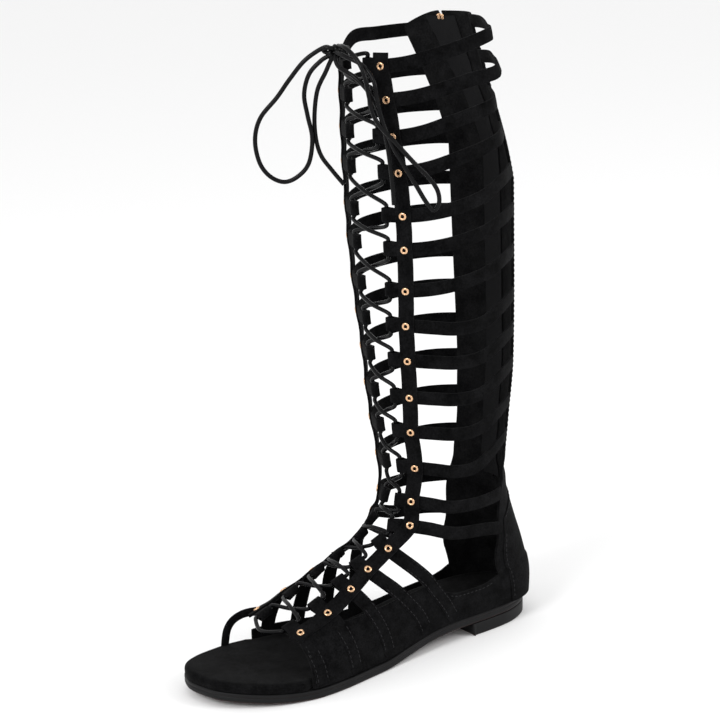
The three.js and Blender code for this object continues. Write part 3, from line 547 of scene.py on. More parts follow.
# The top two outer straps hang loose behind the leg before they meet the panel
LOOSE_FROM_ANGLE = 101
LOOSE_TWIST = (0, 0.3, 0.5, 0.4)
LOOSE_LOOPS = (
    ((46.5, -13.5, 389.5), (38, -7.5, 391), (27, -0.3, 392.5), (16, 4, 393.5)),
    ((50, -13.5, 366.5), (45.5, -6.7, 369.5), (35, -0.5, 371.3), (23, 5, 372.5)),
)


def loose_places(before, loop, after):
    """Places along a loose loop, facing away from the leg and, where it has twisted, upwards."""
    run = [before, *(Vector(point) for point in loop), after]
    return [(p, Vector(((b - a).y, (a - b).x, 0)).normalized() + Vector((0, 0, twist)))
            for a, p, b, twist in zip(run, run[1:], run[2:], LOOSE_TWIST)]


def ring_route(ring, side):
    """From the folded end of the tab, round the leg and on under the back panel."""
    centre, front = look_up(LEG, "z", "centre", ring["bar"]), look_up(LEG, "z", "front", ring["bar"])
    radius = min(centre - front, 1.3 * look_up(LEG, "z", "half", ring["bar"]))
    tab = OUTER_TAB if side > 0 else ring["inner_tab"]
    start = bar_angle(ring, side) - math.degrees(tab / radius)
    edge_z = ring_height(ring, side, BACK_ANGLE)
    sunk = clamp((edge_z - SLACK_SEAM[0]) / (SHAFT_TOP_Z - SLACK_SEAM[0]))
    loose = side == LATERAL and RINGS.index(ring) < len(LOOSE_LOOPS)
    until = 180 - look_up(BACK_EDGE, "z", "angle", edge_z) - PANEL_LEAD - sunk * SUNK_LEAD[side]
    angle = start
    places = []
    while angle < (LOOSE_FROM_ANGLE if loose else until):
        places.append(on_leg(side * angle, ring_height(ring, side, angle)))
        angle += RING_STEP
    panel_edge = on_back(side, edge_z)
    if loose:
        places += loose_places(places[-1][0], LOOSE_LOOPS[RINGS.index(ring)], panel_edge[0])
    return Route([*places, panel_edge, on_back(side * STRAP_LAP, edge_z)], 12)


def folded_end(radius=FOLD_RADIUS):
    """Distance and height along the fold: the under layer, then round the lace to the top."""
    under = [(13, -2.7), (10, -2.8), (7.5, -3.1), (5, -3.7)]
    middle = radius, -FOLD_DEPTH
    bend = [(middle[0] - radius * math.sin(math.radians(a)), middle[1] - radius * math.cos(math.radians(a)))
            for a in range(0, 181, 20)]
    over = [(4.6, 1.0), (6.6, 0.55), (8.8, 0.2)]
    return under + bend + over


tabs = {LATERAL: [], MEDIAL: []}


def lace_tunnel(route):
    """Middle of the fold, the normal there and the direction across the strap."""
    p, n, along = route.at(FOLD_RADIUS)
    return p - n * FOLD_DEPTH, n, along.cross(n).normalized()


bm = bmesh.new()
for side in (LATERAL, MEDIAL):
    for ring in RINGS:
        route = ring_route(ring, side)
        tabs[side].append(lace_tunnel(route))
        profile = folded_end()
        s = FLAT_FROM
        while s < route.length:
            tuck = clamp((s - route.length + TUCK_FROM) / TUCK_OVER)
            profile.append((s, mix(0.0, TUCK_DEPTH, tuck)))
            s += STATION
        profile.append((route.length, TUCK_DEPTH))
        add_grid(bm, strap_rows(route, STRAP_WIDTH, profile, crown=0.18), route.at(route.length * 0.5)[1])
finish_piece("ring_straps", bm, BLACK_SUEDE, ["upper"], STRAP_THICKNESS, 0.35)

# ---------------------------------------------------------------- foot straps
# Five suede straps on each side come down from the lacing over the foot. On the outer
# side they show as low ridges on down the panel to the sole, on the inner side they end
# behind the rand.
FOOT_STRAP_WIDTH, FOOT_STATION = 9, 1.8
# Past the panel's edge the strap rises over it, or goes down behind the rand
PAST_EDGE_FROM, PAST_EDGE_OVER, PAST_EDGE_HEIGHT = 26, 8, {LATERAL: 0.55, MEDIAL: -0.5}
FOOT_STRAPS = (
    {"tab": (8, -89),
     LATERAL: ((-87.4, 71.9), (-75, 58.5), (-66, 48.5), (-60.5, 40), (-53, 29), (-47, 18)),
     MEDIAL: ((-87.4, 71.9), (-86, 55), (-86, 37), (-87, 18))},
    {"tab": (9, -107),
     LATERAL: ((-104.7, 62.8), (-95, 52.5), (-88, 45), (-83, 39), (-75, 28), (-69, 14)),
     MEDIAL: ((-104.7, 62.8), (-105, 48), (-106, 32), (-108, 16))},
    {"tab": (10, -122),
     LATERAL: ((-120, 54.3), (-115, 46.5), (-110.5, 38), (-105, 25), (-101, 9)),
     MEDIAL: ((-120, 54.3), (-122, 42), (-124, 28), (-126, 15))},
    {"tab": (11, -141),
     LATERAL: ((-139.8, 44.5), (-137, 38.5), (-133, 25), (-130, 8)),
     MEDIAL: ((-139.8, 44.5), (-142, 34), (-144, 24), (-145, 15))},
    {"tab": (12, -161),
     LATERAL: ((-160, 36.6), (-160, 31), (-158.5, 20), (-157, 8)),
     MEDIAL: ((-160, 36.6), (-163, 34.5))},
)


def foot_route(strap, side):
    x, y = strap["tab"]
    over = [on_instep(side, x, y), on_instep(side, x + 6, y)]
    return Route(over + [on_foot(side, *place) for place in strap[side]])


bm = bmesh.new()
for side in (LATERAL, MEDIAL):
    for strap in FOOT_STRAPS:
        route = foot_route(strap, side)
        tabs[side].append(lace_tunnel(route))
        profile = [pair for pair in folded_end() if pair[0] < route.length]
        s = FLAT_FROM
        while s < route.length:
            past_edge = clamp((s - PAST_EDGE_FROM) / PAST_EDGE_OVER)
            profile.append((s, mix(0.0, PAST_EDGE_HEIGHT[side], past_edge)))
            s += FOOT_STATION
        rows = strap_rows(route, FOOT_STRAP_WIDTH, profile, crown=0.12)
        add_grid(bm, rows, route.at(route.length * 0.6)[1])
finish_piece("foot_straps", bm, BLACK_SUEDE, ["upper"], STRAP_THICKNESS, 0.35)

# ---------------------------------------------------------------- lacing
# One long cord runs down through the folded ends of the straps, crossing over itself
# between each pair, and turns back across the toes through the lowest pair.
def tunnel_points(tab, above, width):
    """Points of the lace on its way down through one fold."""
    centre, n, across = tab
    up = across if across.dot(above) > 0 else -across
    half = width / 2
    return [centre + up * (half + 2.8) + n * 1.3, centre + up * half * 0.75,
            centre - up * half * 0.75, centre - up * (half + 2.8) + n * 1.3]


def strand(first_side):
    """One half of the lace, from the knot down to the last fold."""
    points = [KNOT + level_right * (3.5 * first_side) - Vector((0, 0, 4.5))]
    before = None
    for level in range(len(tabs[LATERAL])):
        side = first_side if level % 2 == 0 else -first_side
        centre, n, _ = tabs[side][level]
        above = KNOT - centre if level == 0 else tabs[side][level - 1][0] - centre
        width = STRAP_WIDTH if level < len(RINGS) else FOOT_STRAP_WIDTH
        here = tunnel_points(tabs[side][level], above, width)
        if before is not None:
            outwards = (before[1] + n).normalized()
            over = 1.7 if (level + (first_side > 0)) % 2 else -1.5
            points.append((before[0] + here[0]) / 2 + outwards * (over + 0.6))
        points += here
        before = here[-1], n
    return points


outer_strand, inner_strand = strand(LATERAL), strand(MEDIAL)
toe_turn = (outer_strand[-1] + inner_strand[-1]) / 2 + Vector((0, -5, -2.5))
whole_lace = curve_through([*outer_strand, toe_turn, *reversed(inner_strand)], 7)
lacing = round_cord("lacing", whole_lace, LACE_RADIUS * 0.93)
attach(lacing, "sandal")
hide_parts("lace")

# ---------------------------------------------------------------- back panel and counter
# One sheet of suede cups the heel and runs up the back of the leg, slit for the zip. Its
# empty top has sunk forwards, so it hangs in a few soft folds. The lining is plain felt.
ZIP_BOTTOM_Z, ZIP_HALF_SLOT = 98, 1.3
OUTSOLE_THICKNESS, SOLE_SEAM, PANEL_THICKNESS = 6, 0.6, 1.8
UNDERSIDE = {
    "y": (-222, -208, -190, -174, -158, -108, -96, -84, -72, -58, -44, -30, 30),
    "z": (5.4, 3.9, 2, 0.8, 0, 0, 1.2, 3.4, 5.6, 7.5, 8.3, 8.5, 8.5),
}
FELT_LINING = suede("felt_lining", (0.003, 0.003, 0.0033), (0.012, 0.012, 0.0125), nap=0.6)


def underside(y):
    return look_up(UNDERSIDE, "y", "z", y)


def soft_fold(distance, width, depth):
    """Cross section of a soft crease: a trough with a low ridge on each side."""
    t = distance / width
    return depth * (1 - 1.6 * t * t) * math.exp(-1.6 * t * t)


# Creases of the sunk panel: start and end as (u, z), half width and depth
PANEL_CREASES = (
    ((-0.85, 318), (-0.35, 372), 9, -1.3),
    ((-0.55, 300), (-0.1, 340), 8, -0.9),
    ((0.2, 322), (0.75, 350), 8, -1.0),
    ((-0.2, 375), (0.5, 352), 7, -0.7),
    ((-0.9, 112), (0.9, 106), 7, -0.8),
    ((-0.6, 128), (0.4, 121), 6, -0.5),
)
PANEL_HALF = 32


def panel_crease(u, z):
    height = 0
    for (u0, z0), (u1, z1), width, depth in PANEL_CREASES:
        start, end = Vector((u0 * PANEL_HALF, z0)), Vector((u1 * PANEL_HALF, z1))
        here = Vector((u * PANEL_HALF, z))
        run = end - start
        share = (here - start).dot(run) / run.length_squared
        off_end = max(0.0, -share, share - 1) * run.length
        distance = (here - start - run * clamp(share)).length
        height += soft_fold(distance, width, depth) * math.exp(-(off_end / 12) ** 2)
    return height


def raised(place, height):
    """The same place and normal, lifted off the surface."""
    return place[0] + place[1] * height, place[1]


def on_panel(u, z, height=0):
    """A place on the creased face of the back panel, or at a height over it."""
    return raised(on_back(u, z), height + panel_crease(u, z))


def panel_top(u):
    return SHAFT_TOP_Z - (10 if u < 0 else 1) * abs(u) ** 1.5


def half_panel(z):
    """Width of half the panel at a height, as it runs beside the zip."""
    return (back_point(0.1, z) - back_point(0, z)).length * 10


def slot_share(z):
    """Share of the half panel that the slot for the zip takes up at a height."""
    if z < ZIP_BOTTOM_Z:
        return 0.0
    return ZIP_HALF_SLOT * clamp((z - ZIP_BOTTOM_Z) / 3) / half_panel(z)


bm = bmesh.new()
panel_bottom = underside(0) + OUTSOLE_THICKNESS + SOLE_SEAM
for side in (LATERAL, MEDIAL):
    rows = []
    level_count, column_count = 170, 16
    for k in range(level_count + 1):
        share = k / level_count
        row = []
        for c in range(column_count + 1):
            z = mix(panel_bottom, panel_top(side * (1 - c / column_count)), share)
            u = side * mix(1, slot_share(z), c / column_count)
            row.append(on_panel(u, z)[0])
        rows.append(row)
    add_grid(bm, rows, from_seam(rows[60][8]))
bmesh.ops.remove_doubles(bm, verts=bm.verts, dist=0.00002)
back_panel = finish_piece("back_panel", bm, BLACK_SUEDE, ["upper"], PANEL_THICKNESS, 0.45)
back_panel.data.materials.append(FELT_LINING)
back_panel.modifiers["wall"].material_offset = 1

# ---------------------------------------------------------------- heel counter
# A second layer of suede stiffens the heel. It is stitched over the back panel up to the
# ankle, where its top edge curves up to the start of the zip.
COUNTER_SHARE, COUNTER_THICKNESS = 0.9, 0.7
COUNTER_ROWS, COUNTER_COLUMNS = 40, 48


def counter_top(u):
    return mix(92, 74, clamp(abs(u) / COUNTER_SHARE) ** 2)


bm = bmesh.new()
rows = []
for k in range(COUNTER_ROWS + 1):
    row = []
    for c in range(COUNTER_COLUMNS + 1):
        u = COUNTER_SHARE * (2 * c / COUNTER_COLUMNS - 1)
        z = mix(panel_bottom + 0.3, counter_top(u), k / COUNTER_ROWS)
        row.append(on_panel(u, z, COUNTER_THICKNESS)[0])
    rows.append(row)
add_grid(bm, rows, Vector((0, 1, 0)))
finish_piece("heel_counter", bm, BLACK_SUEDE, ["upper"], COUNTER_THICKNESS + 0.3, 0.35)

# ---------------------------------------------------------------- side panel and rand
# The outer side of the foot is closed by a high suede panel, cut away between the straps
# and under the ankle. The inner side has only a low rand along the sole.
PANEL_TOP = {
    "y": (-164, -158, -150, -137, -130, -118, -104, -92, -80, -68, -60, -52, -40, -24, -8),
    "lateral": (34, 38, 40.5, 42, 40, 41, 41.5, 42.6, 43.5, 45, 42, 37, 33.8, 33.8, 37),
    "medial": (17, 17.5, 18, 18.5, 18.5, 18.5, 18.5, 19, 19.5, 20, 20.5, 21, 21.5, 22, 26),
}
PANEL_FRONT = {LATERAL: -164, MEDIAL: -156}
# Where the panels lap over the back panel: share of its half, and how far the edge climbs
PANEL_LAP = ((1, 0), (0.97, 1), (0.93, 2.5), (0.88, 4))
LAP_TOP = {LATERAL: 37, MEDIAL: 28}
# Walking creases across the ball, as (y at the sole, y at the top edge, half width, depth)
WALKING_CREASES = (
    (-138, -150, 4.5, -0.5),
    (-126, -133, 4, -0.4),
    (-148, -157, 3.5, -0.35),
    (-62, -52, 5, -0.35),
)


def walking_crease(y, share):
    return sum(soft_fold(y - mix(low, high, share), width, depth * (0.4 + 0.6 * share))
               for low, high, width, depth in WALKING_CREASES)


bm = bmesh.new()
for side in (LATERAL, MEDIAL):
    rows = []
    station_count, row_count = 110, 22 if side == LATERAL else 9
    column = "lateral" if side == LATERAL else "medial"
    for k in range(station_count + 1):
        y = mix(PANEL_FRONT[side], -12, k / station_count)
        bottom = underside(y) + OUTSOLE_THICKNESS + SOLE_SEAM
        top = look_up(PANEL_TOP, "y", column, y)
        row = []
        for r in range(row_count + 1):
            share = r / row_count
            p, n = on_foot(side, y, mix(bottom, top, share))
            row.append(p + n * (walking_crease(y, share) if side == LATERAL else 0.2))
        rows.append(row)
    bottom = underside(-20) + OUTSOLE_THICKNESS + SOLE_SEAM
    for u, climb in PANEL_LAP:
        top = LAP_TOP[side] + climb
        rows.append([on_back(side * u, mix(bottom, top, r / row_count))[0] for r in range(row_count + 1)])
    add_grid(bm, rows, Vector((side, 0, 0)))
finish_piece("side_panels", bm, BLACK_SUEDE, ["upper"], PANEL_THICKNESS, 0.45)

# ---------------------------------------------------------------- rolled toe strap
# A narrow strap of folded suede holds the front of the inner bar to the edge of the sole.
ROLLED_ROUTE = ((-26.5, -159, 35.5), (-28.6, -163.4, 35.2), (-31.5, -168, 33.8), (-35, -172.6, 30),
                (-37.4, -175.6, 24), (-38.6, -177, 16), (-39, -177.5, 9))
ROLLED_HALF_WIDTH, ROLLED_HALF_DEPTH, ROLLED_SIDES = 2.8, 1.7, 16
# The folded edges meet in a groove: its depth, and its place and width round the strap
GROOVE_DEPTH, GROOVE_AT, GROOVE_WIDTH = 0.28, 0.4, 0.35

bm = bmesh.new()
rows = []
rolled_points = curve_through(ROLLED_ROUTE, 8)
for i, point in enumerate(rolled_points):
    along = (rolled_points[min(i + 1, len(rolled_points) - 1)] - rolled_points[max(i - 1, 0)]).normalized()
    out = Vector((-1, 0, 0)) - along * Vector((-1, 0, 0)).dot(along)
    out.normalize()
    across = along.cross(out)
    ring = []
    for k in range(ROLLED_SIDES + 1):
        turn = 2 * math.pi * k / ROLLED_SIDES
        groove = 1 - GROOVE_DEPTH * math.exp(-((turn - GROOVE_AT) / GROOVE_WIDTH) ** 2)
        ring.append(point + across * (ROLLED_HALF_WIDTH * math.sin(turn))
                    + out * (ROLLED_HALF_DEPTH * math.cos(turn) * groove))
    rows.append(ring)
add_grid(bm, rows, Vector((0, 0, 0)))
bmesh.ops.remove_doubles(bm, verts=bm.verts, dist=0.00001)
bmesh.ops.recalc_face_normals(bm, faces=bm.faces)
finish_piece("rolled_toe_strap", bm, BLACK_SUEDE, ["upper"])

# ---------------------------------------------------------------- studs
# Hollow brass rivets, pressed through the bar and the strap under it, so each shows a
# rolled rim round a hole whose bottom is painted near-black: a painted dark reflection.
RIM_PROFILE = ((2.42, 0), (2.46, 0.22), (2.34, 0.48), (2.0, 0.7), (1.6, 0.76), (1.25, 0.68),
               (1.08, 0.45), (1.0, 0.1), (0.98, -0.3))
HOLLOW_PROFILE = ((1.03, -0.1), (0.6, -0.18), (0, -0.2))
STUD_SIDES, STUD_SEAT = 28, 0.15


def brass():
    """Polished rose brass with fine scratches."""
    material, tree, shader, add = new_material("rose_brass", Metallic=1)
    haze = texture(add, "Noise", Scale=900.0, Detail=3.0)
    paint(tree, shader, add, haze, (0.62, 0.36, 0.2), (0.82, 0.55, 0.34))
    rough = add("ShaderNodeMapRange", [(haze, "Value")], To_Min=0.14, To_Max=0.3)
    tree.links.new(rough.outputs["Result"], shader.inputs["Roughness"])
    link_bump(tree, shader, add, haze, 0.15, 0.0001)
    return material


ROSE_BRASS = brass()


def painted_dark_centre():
    """The inside of a rivet, painted near-black brown, dull and uneven: painted dark reflection at each
    stud's middle.
    """
    material, tree, shader, add = new_material("brass_painted_dark_centre", Specular_IOR_Level=0.1, Roughness=0.6)
    spots = texture(add, "Noise", Scale=1200.0, Detail=3.0)
    paint(tree, shader, add, spots, (0.02, 0.008, 0.005), (0.09, 0.04, 0.022))
    return material


stud_nodes = [f"stud_{side_name}_{i + 1:02d}" for side_name in ("lateral", "medial")
              for i in range(len(RINGS) + len(FOOT_CROSSINGS))]
# The hollows carry the painted dark reflection, a near-black brown, under the polished rims.
for name, profile, finish in (
    ("studs", RIM_PROFILE, ROSE_BRASS),
    ("stud_hollows_painted_dark", HOLLOW_PROFILE, painted_dark_centre()),
):
    bm = bmesh.new()
    for side in (LATERAL, MEDIAL):
        for p, n in crossings(side):
            foot = p + n * (BAR_TOP + STUD_SEAT)
            tangent = n.orthogonal().normalized()
            chain = [bm.verts.new((foot + tangent * r + n * h) * MM) for r, h in profile]
            edges = [bm.edges.new(pair) for pair in zip(chain, chain[1:])]
            bmesh.ops.spin(bm, geom=chain + edges, cent=foot * MM, axis=n, angle=2 * math.pi,
                           steps=STUD_SIDES, use_merge=True)
    bmesh.ops.remove_doubles(bm, verts=bm.verts, dist=0.000005)
    bmesh.ops.recalc_face_normals(bm, faces=bm.faces)
    finish_piece(name, bm, finish, stud_nodes)

# ---------------------------------------------------------------- zip
# A brass zip closes the slit in the back panel: woven tapes sewn behind the edges, two
# rows of teeth that mesh in the middle, stops at both ends, and a slider at the top with
# its pull tab.
TAPE_COLUMNS = (-9, -6, -3, -1, 1, 3, 6, 9)
TAPE_STATIONS, TAPE_DEPTH, TAPE_THICKNESS = 145, 0.35, 0.6
# Blocks of brass on the tape: depth of the middle, and size across, up and through
TOOTH_PITCH, TOOTH_ASIDE, TOOTH_DEPTH, TOOTH_SIZE = 2.0, 0.75, -1.6, (2.5, 1.05, 1.2)
BOTTOM_STOP_DEPTH, BOTTOM_STOP_SIZE = -1.5, (3.4, 1.8, 1.5)
TOP_STOP_ASIDE, TOP_STOP_DEPTH, TOP_STOP_SIZE = 1.5, -1.9, (2.2, 3.4, 2.4)


def woven_tape():
    """Black zip tape: a fine diagonal weave."""
    material, tree, shader, add = new_material("woven_tape", Specular_IOR_Level=0.1, Roughness=0.8)
    weave = texture(add, "Wave", bands_direction="DIAGONAL", Scale=420.0, Distortion=1.0)
    paint(tree, shader, add, weave, (0.003, 0.003, 0.0032), (0.012, 0.012, 0.013))
    link_bump(tree, shader, add, weave, 0.4, 0.0002)
    return material


def seam_place(x, z, depth):
    """A place beside the zip: x across the seam, depth outwards from the panel's face."""
    return on_panel(x / half_panel(z), z, depth)[0]


bm = bmesh.new()
rows = []
for k in range(TAPE_STATIONS + 1):
    z = mix(ZIP_BOTTOM_Z - 3, SHAFT_TOP_Z - 3, k / TAPE_STATIONS)
    rows.append([seam_place(x, z, -PANEL_THICKNESS - TAPE_DEPTH) for x in TAPE_COLUMNS])
add_grid(bm, rows, Vector((0, 1, 0)))
finish_piece("zip_tape", bm, woven_tape(), ["zip"], TAPE_THICKNESS, 0.15)


def brass_block(bm, x, z, depth, size):
    """A small block on the zip: its place, and its size across, up and through the tape."""
    n = on_back(0, z)[1]
    up = (on_back(0, z + 2)[0] - on_back(0, z - 2)[0]).normalized()
    turn = Matrix((n.cross(up).normalized(), up, n)).transposed().to_4x4()
    place = Matrix.Translation(seam_place(x, z, depth) * MM)
    bmesh.ops.create_cube(bm, size=MM, matrix=place @ turn @ Matrix.Diagonal((*size, 1)))


bm = bmesh.new()
z = ZIP_BOTTOM_Z + 4
row_side = 1
while z < SHAFT_TOP_Z - 14:
    brass_block(bm, row_side * TOOTH_ASIDE, z, TOOTH_DEPTH, TOOTH_SIZE)
    row_side = -row_side
    z += TOOTH_PITCH / 2
brass_block(bm, 0, ZIP_BOTTOM_Z + 2.4, BOTTOM_STOP_DEPTH, BOTTOM_STOP_SIZE)
for x in (-TOP_STOP_ASIDE, TOP_STOP_ASIDE):
    brass_block(bm, x, SHAFT_TOP_Z - 3.4, TOP_STOP_DEPTH, TOP_STOP_SIZE)
bmesh.ops.bevel(bm, geom=bm.edges[:], offset=0.2 * MM, segments=1, profile=0.5, affect="EDGES", material=-1)
finish_piece("zip_teeth", bm, ROSE_BRASS, ["zip"])

for node in ("zip_slider", "zip_pull"):
    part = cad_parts[node]
    part.data.materials.clear()
    part.data.materials.append(ROSE_BRASS)
    rounded = part.modifiers.new("edge", "BEVEL")
    rounded.width = 0.3 * MM
    rounded.segments = 3
    rounded.limit_method = "ANGLE"

# ---------------------------------------------------------------- sole
# Cemented flat sole: a suede-covered insole board, a thin outsole of grey rubber that
# bends up at the toe, and a low block of the same rubber under the heel.
INSOLE_THICKNESS, HEEL_HEIGHT, HEEL_BREAST_Y = 6.2, 8.2, -30
TOE_Y = HEEL_BACK_Y - SHOE_LENGTH
# The middle line that a layer is closed to stops this far from its ends
END_FAN = 14


def sole_outline(spacing=2.4, passes=5):
    """Evenly spaced points round the sole: toe, outer side, heel, inner side, its ends eased."""
    fine = []
    for side, start, end in ((LATERAL, TOE_Y, HEEL_BACK_Y), (MEDIAL, HEEL_BACK_Y, TOE_Y)):
        for k in range(400):
            y = mix(start, end, 0.5 - 0.5 * math.cos(math.pi * k / 400))
            fine.append(Vector((side * outline_half(side, y), y, 0)))
    fine.append(fine[0])
    reach = [0.0]
    for a, b in zip(fine, fine[1:]):
        reach.append(reach[-1] + (b - a).length)
    count = round(reach[-1] / spacing)
    loop = []
    for k in range(count):
        at = reach[-1] * k / count
        i = bisect_right(reach, at) - 1
        loop.append(fine[i].lerp(fine[i + 1], (at - reach[i]) / max(1e-6, reach[i + 1] - reach[i])))
    for _ in range(passes):
        loop = [(loop[i - 1] + 2 * loop[i] + loop[(i + 1) % count]) / 4 for i in range(count)]
    return loop


def inset_loop(loop, inset):
    """The same loop moved inwards, by one distance or by a function of each point."""
    moved = []
    for i, point in enumerate(loop):
        along = (loop[(i + 1) % len(loop)] - loop[i - 1]).normalized()
        inwards = Vector((-along.y, along.x, 0))
        moved.append(point + inwards * (inset(point) if callable(inset) else inset))
    return moved


def sole_body(bm, loop, profile, height_at):
    """A layer of the sole: rings of (inset, height) round the loop, closed to its middle line."""
    rings = []
    for inset, up in profile:
        moved = inset_loop(loop, inset)
        rings.append([bm.verts.new(Vector((p.x, p.y, height_at(p.y, up))) * MM) for p in moved])
    for a, b in zip(rings, rings[1:]):
        for i in range(len(loop)):
            j = (i + 1) % len(loop)
            bm.faces.new((a[i], a[j], b[j], b[i]))
    low = min(p.y for p in loop) + END_FAN
    high = max(p.y for p in loop) - END_FAN
    for ring, up in ((rings[0], profile[0][1]), (rings[-1], profile[-1][1])):
        before = ring
        for share in (0.12, 0.35, 0.65, 1):
            after = []
            for vert in ring:
                p = vert.co / MM
                axis_y = min(max(p.y, low), high)
                axis_x = (outline_half(LATERAL, axis_y) - outline_half(MEDIAL, axis_y)) / 2
                q = Vector((p.x, p.y, 0)).lerp(Vector((axis_x, axis_y, 0)), share)
                after.append(bm.verts.new(Vector((q.x, q.y, height_at(q.y, up))) * MM))
            for i in range(len(loop)):
                j = (i + 1) % len(loop)
                bm.faces.new((before[i], before[j], after[j], after[i]))
            before = after
    bmesh.ops.remove_doubles(bm, verts=bm.verts, dist=0.00001)
    bmesh.ops.recalc_face_normals(bm, faces=bm.faces)


def grey_rubber():
    """Dark grey rubber with a dull skin, a little browner where it faces the ground."""
    material, tree, shader, add = new_material("grey_rubber", Specular_IOR_Level=0.13, Roughness=0.5)
    cloud = texture(add, "Noise", Scale=70.0, Detail=4.0)
    grain = texture(add, "Noise", Scale=2200.0, Detail=2.0)
    skin = paint(tree, shader, add, cloud, (0.003, 0.003, 0.0032), (0.011, 0.011, 0.0115))
    facing = add("ShaderNodeSeparateXYZ", [(add("ShaderNodeNewGeometry").outputs["Normal"], "Vector")])
    downwards = add("ShaderNodeMapRange", [(facing.outputs["Z"], "Value")], From_Min=-0.3, From_Max=-0.9)
    ground = add("ShaderNodeMix", [(downwards.outputs["Result"], "Factor"), (skin, 6)], data_type="RGBA")
    ground.inputs[7].default_value = (0.04, 0.018, 0.016, 1)
    tree.links.new(ground.outputs[2], shader.inputs["Base Color"])
    link_bump(tree, shader, add, grain, 0.2, 0.0002)
    return material


GREY_RUBBER = grey_rubber()
sole_loop = sole_outline()
bm = bmesh.new()
outsole_profile = ((2.2, 0), (0.9, 0.15), (0.25, 0.7), (0, 1.6), (0, 3.4), (0.25, 3.6), (0.25, 3.9), (0, 4.1),
                   (0, 5.3), (0.25, 5.8), (0.9, 6))
sole_body(bm, sole_loop, outsole_profile, lambda y, up: underside(y) + up)
finish_piece("outsole_rubber", bm, GREY_RUBBER, ["outsole"])

heel_loop = [p for p in sole_loop if p.y > HEEL_BREAST_Y + 0.5]
outer_corner, inner_corner = (Vector((p.x, HEEL_BREAST_Y, 0)) for p in (heel_loop[0], heel_loop[-1]))
heel_loop += [inner_corner.lerp(outer_corner, k / 20) for k in range(21)]
bm = bmesh.new()
heel_profile = ((1.8, 0), (0.9, 0.15), (0.5, 0.7), (0.4, 2), (0.2, HEEL_HEIGHT - 0.6), (0.35, HEEL_HEIGHT))
sole_body(bm, heel_loop, heel_profile, lambda y, up: up)
finish_piece("heel_block", bm, GREY_RUBBER, ["heel"])

INSOLE_BOTTOM = OUTSOLE_THICKNESS + 0.3
FOOTBED_SUEDE = suede("footbed_suede", (0.0008, 0.0008, 0.0009), (0.0075, 0.0075, 0.008), nap=0.9)


def insole_inset(extra):
    """Inset of the insole's edge: full width at the toe, inside the upper behind it."""
    def inset(p):
        front = PANEL_FRONT[LATERAL if p.x > 0 else MEDIAL]
        return mix(0.4, 3.3, clamp((p.y - front + 5) / 5)) + extra
    return inset


def footbed(y, up):
    """The top of the insole is pressed down a little under the heel and the ball."""
    pressed = 0.5 * math.exp(-((y - 0) / 22) ** 2) + 0.4 * math.exp(-((y + 140) / 26) ** 2)
    return underside(y) + up - (pressed if up > INSOLE_BOTTOM + INSOLE_THICKNESS - 0.01 else 0)


bm = bmesh.new()
top = INSOLE_BOTTOM + INSOLE_THICKNESS
insole_profile = [(insole_inset(extra), up) for extra, up in (
    (1.2, INSOLE_BOTTOM), (0.35, INSOLE_BOTTOM + 0.15), (0.05, INSOLE_BOTTOM + 0.8), (0, INSOLE_BOTTOM + 2),
    (0, top - 3), (0.2, top - 1.9), (0.75, top - 0.95), (1.6, top - 0.35), (2.8, top - 0.06), (4.2, top))]
sole_body(bm, sole_loop, insole_profile, footbed)
finish_piece("footbed", bm, FOOTBED_SUEDE, ["insole"])

# ---------------------------------------------------------------- stitching
# Black thread runs just inside the edges of the back panel, the counter, the side panel,
# the zip and the outer foot straps. Each stitch is a short raised bead, sunk at both ends.
STITCH_LENGTH, STITCH_GAP, THREAD_RADIUS = 2.4, 0.9, 0.25
# Along one stitch: share of its length, size and height of its middle
STITCH_SHAPE = ((0, 0.35, -0.16), (0.2, 0.9, 0), (0.5, 1, 0.04), (0.8, 0.9, 0), (1, 0.35, -0.16))
THREAD_SIDES = 6
EDGE_LINE, ZIP_LINE, COUNTER_LINE = 0.94, 0.07, 0.04
FOOT_STRAP_LINE, FOOT_STRAP_STAND = 3.4, 0.62


def thread():
    """Twisted polyester thread, black with a slight shine."""
    material, tree, shader, add = new_material("thread", Specular_IOR_Level=0.2, Roughness=0.55)
    twist = texture(add, "Noise", Scale=2500.0)
    paint(tree, shader, add, twist, (0.004, 0.004, 0.0045), (0.016, 0.016, 0.0175))
    link_bump(tree, shader, add, twist, 0.3, 0.0001)
    return material


def sew(bm, places):
    """Stitches along a line of places."""
    route = Route(places, 4)
    s = STITCH_GAP
    while s + STITCH_LENGTH < route.length:
        rings = []
        for share, size, height in STITCH_SHAPE:
            p, n, along = route.at(s + STITCH_LENGTH * share)
            across = along.cross(n).normalized()
            turns = [2 * math.pi * k / THREAD_SIDES for k in range(THREAD_SIDES + 1)]
            middle, radius = p + n * height, THREAD_RADIUS * size
            rings.append([middle + (across * math.cos(turn) + n * math.sin(turn)) * radius
                          for turn in turns])
        add_grid(bm, rings, Vector((0, 0, 0)))
        s += STITCH_LENGTH + STITCH_GAP


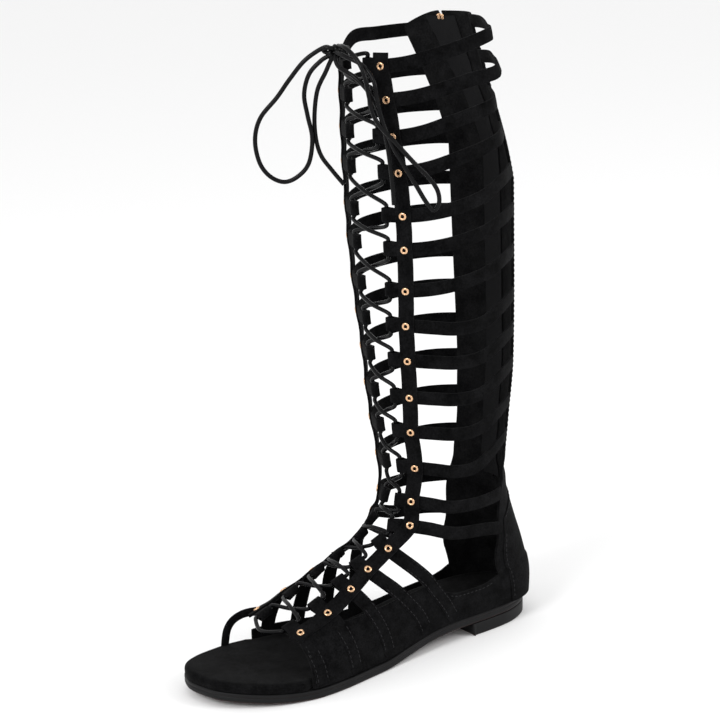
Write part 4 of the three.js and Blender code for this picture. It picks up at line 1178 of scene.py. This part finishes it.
bm = bmesh.new()
for side in (LATERAL, MEDIAL):
    sew(bm, [on_panel(side * EDGE_LINE, z) for z in range(104, 392, 6)])
    sew(bm, [on_panel(side * (slot_share(z) + ZIP_LINE), z) for z in range(108, 394, 6)])
    counter_u = side * (COUNTER_SHARE - COUNTER_LINE)
    sew(bm, [raised(on_back(counter_u, z), COUNTER_THICKNESS) for z in range(18, 72, 6)])
counter_shares = [(COUNTER_SHARE - COUNTER_LINE) * c / 13 for c in range(-13, 14)]
sew(bm, [on_panel(u, counter_top(u) - 1.8, COUNTER_THICKNESS) for u in counter_shares])
sew(bm, [on_foot(LATERAL, y, look_up(PANEL_TOP, "y", "lateral", y) - 2) for y in range(-50, -10, 4)])
front_heights = [mix(underside(-162) + 9, 33, k / 8) for k in range(9)]
sew(bm, [on_foot(LATERAL, PANEL_FRONT[LATERAL] + 2, z) for z in front_heights])
for strap in FOOT_STRAPS:
    route = foot_route(strap, LATERAL)
    for edge in (-FOOT_STRAP_LINE, FOOT_STRAP_LINE):
        strap_line = []
        s = 29.0
        while s < route.length - 2:
            p, n, along = route.at(s)
            strap_line.append((p + along.cross(n).normalized() * edge + n * FOOT_STRAP_STAND, n))
            s += 4
        if len(strap_line) > 1:
            sew(bm, strap_line)
bmesh.ops.remove_doubles(bm, verts=bm.verts, dist=0.000005)
bmesh.ops.recalc_face_normals(bm, faces=bm.faces)
finish_piece("stitching", bm, thread(), ["upper"])

# ---------------------------------------------------------------- studio
# A pale floor under even white light, with one large soft lamp from the upper left.
floor_material = new_material("studio_floor", Base_Color=(0.9, 0.9, 0.9, 1), Roughness=0.9)[0]
bm = bmesh.new()
bmesh.ops.create_grid(bm, x_segments=1, y_segments=1, size=6)
floor_mesh = bpy.data.meshes.new("studio_floor")
bm.to_mesh(floor_mesh)
bm.free()
floor_mesh.materials.append(floor_material)
floor = bpy.data.objects.new("studio_floor", floor_mesh)
bpy.context.scene.collection.objects.link(floor)

world = bpy.data.worlds.new("studio")
world.use_nodes = True
world.node_tree.nodes["Background"].inputs["Color"].default_value = (1, 1, 1, 1)
world.node_tree.nodes["Background"].inputs["Strength"].default_value = 1.0
bpy.context.scene.world = world
bpy.context.scene.view_settings.view_transform = "Standard"


def soft_lamp(name, place, target, size, power):
    data = bpy.data.lights.new(name, "AREA")
    data.shape = "DISK"
    data.size = size
    data.energy = power
    lamp = bpy.data.objects.new(name, data)
    lamp.location = place
    lamp.rotation_euler = (Vector(target) - Vector(place)).to_track_quat("-Z", "Y").to_euler()
    bpy.context.scene.collection.objects.link(lamp)


soft_lamp("key", (0.6, -1.9, 1.5), (0, -0.05, 0.2), 0.9, 22)
soft_lamp("rim", (1.3, 0.9, 1.2), (0, -0.05, 0.2), 0.7, 10)
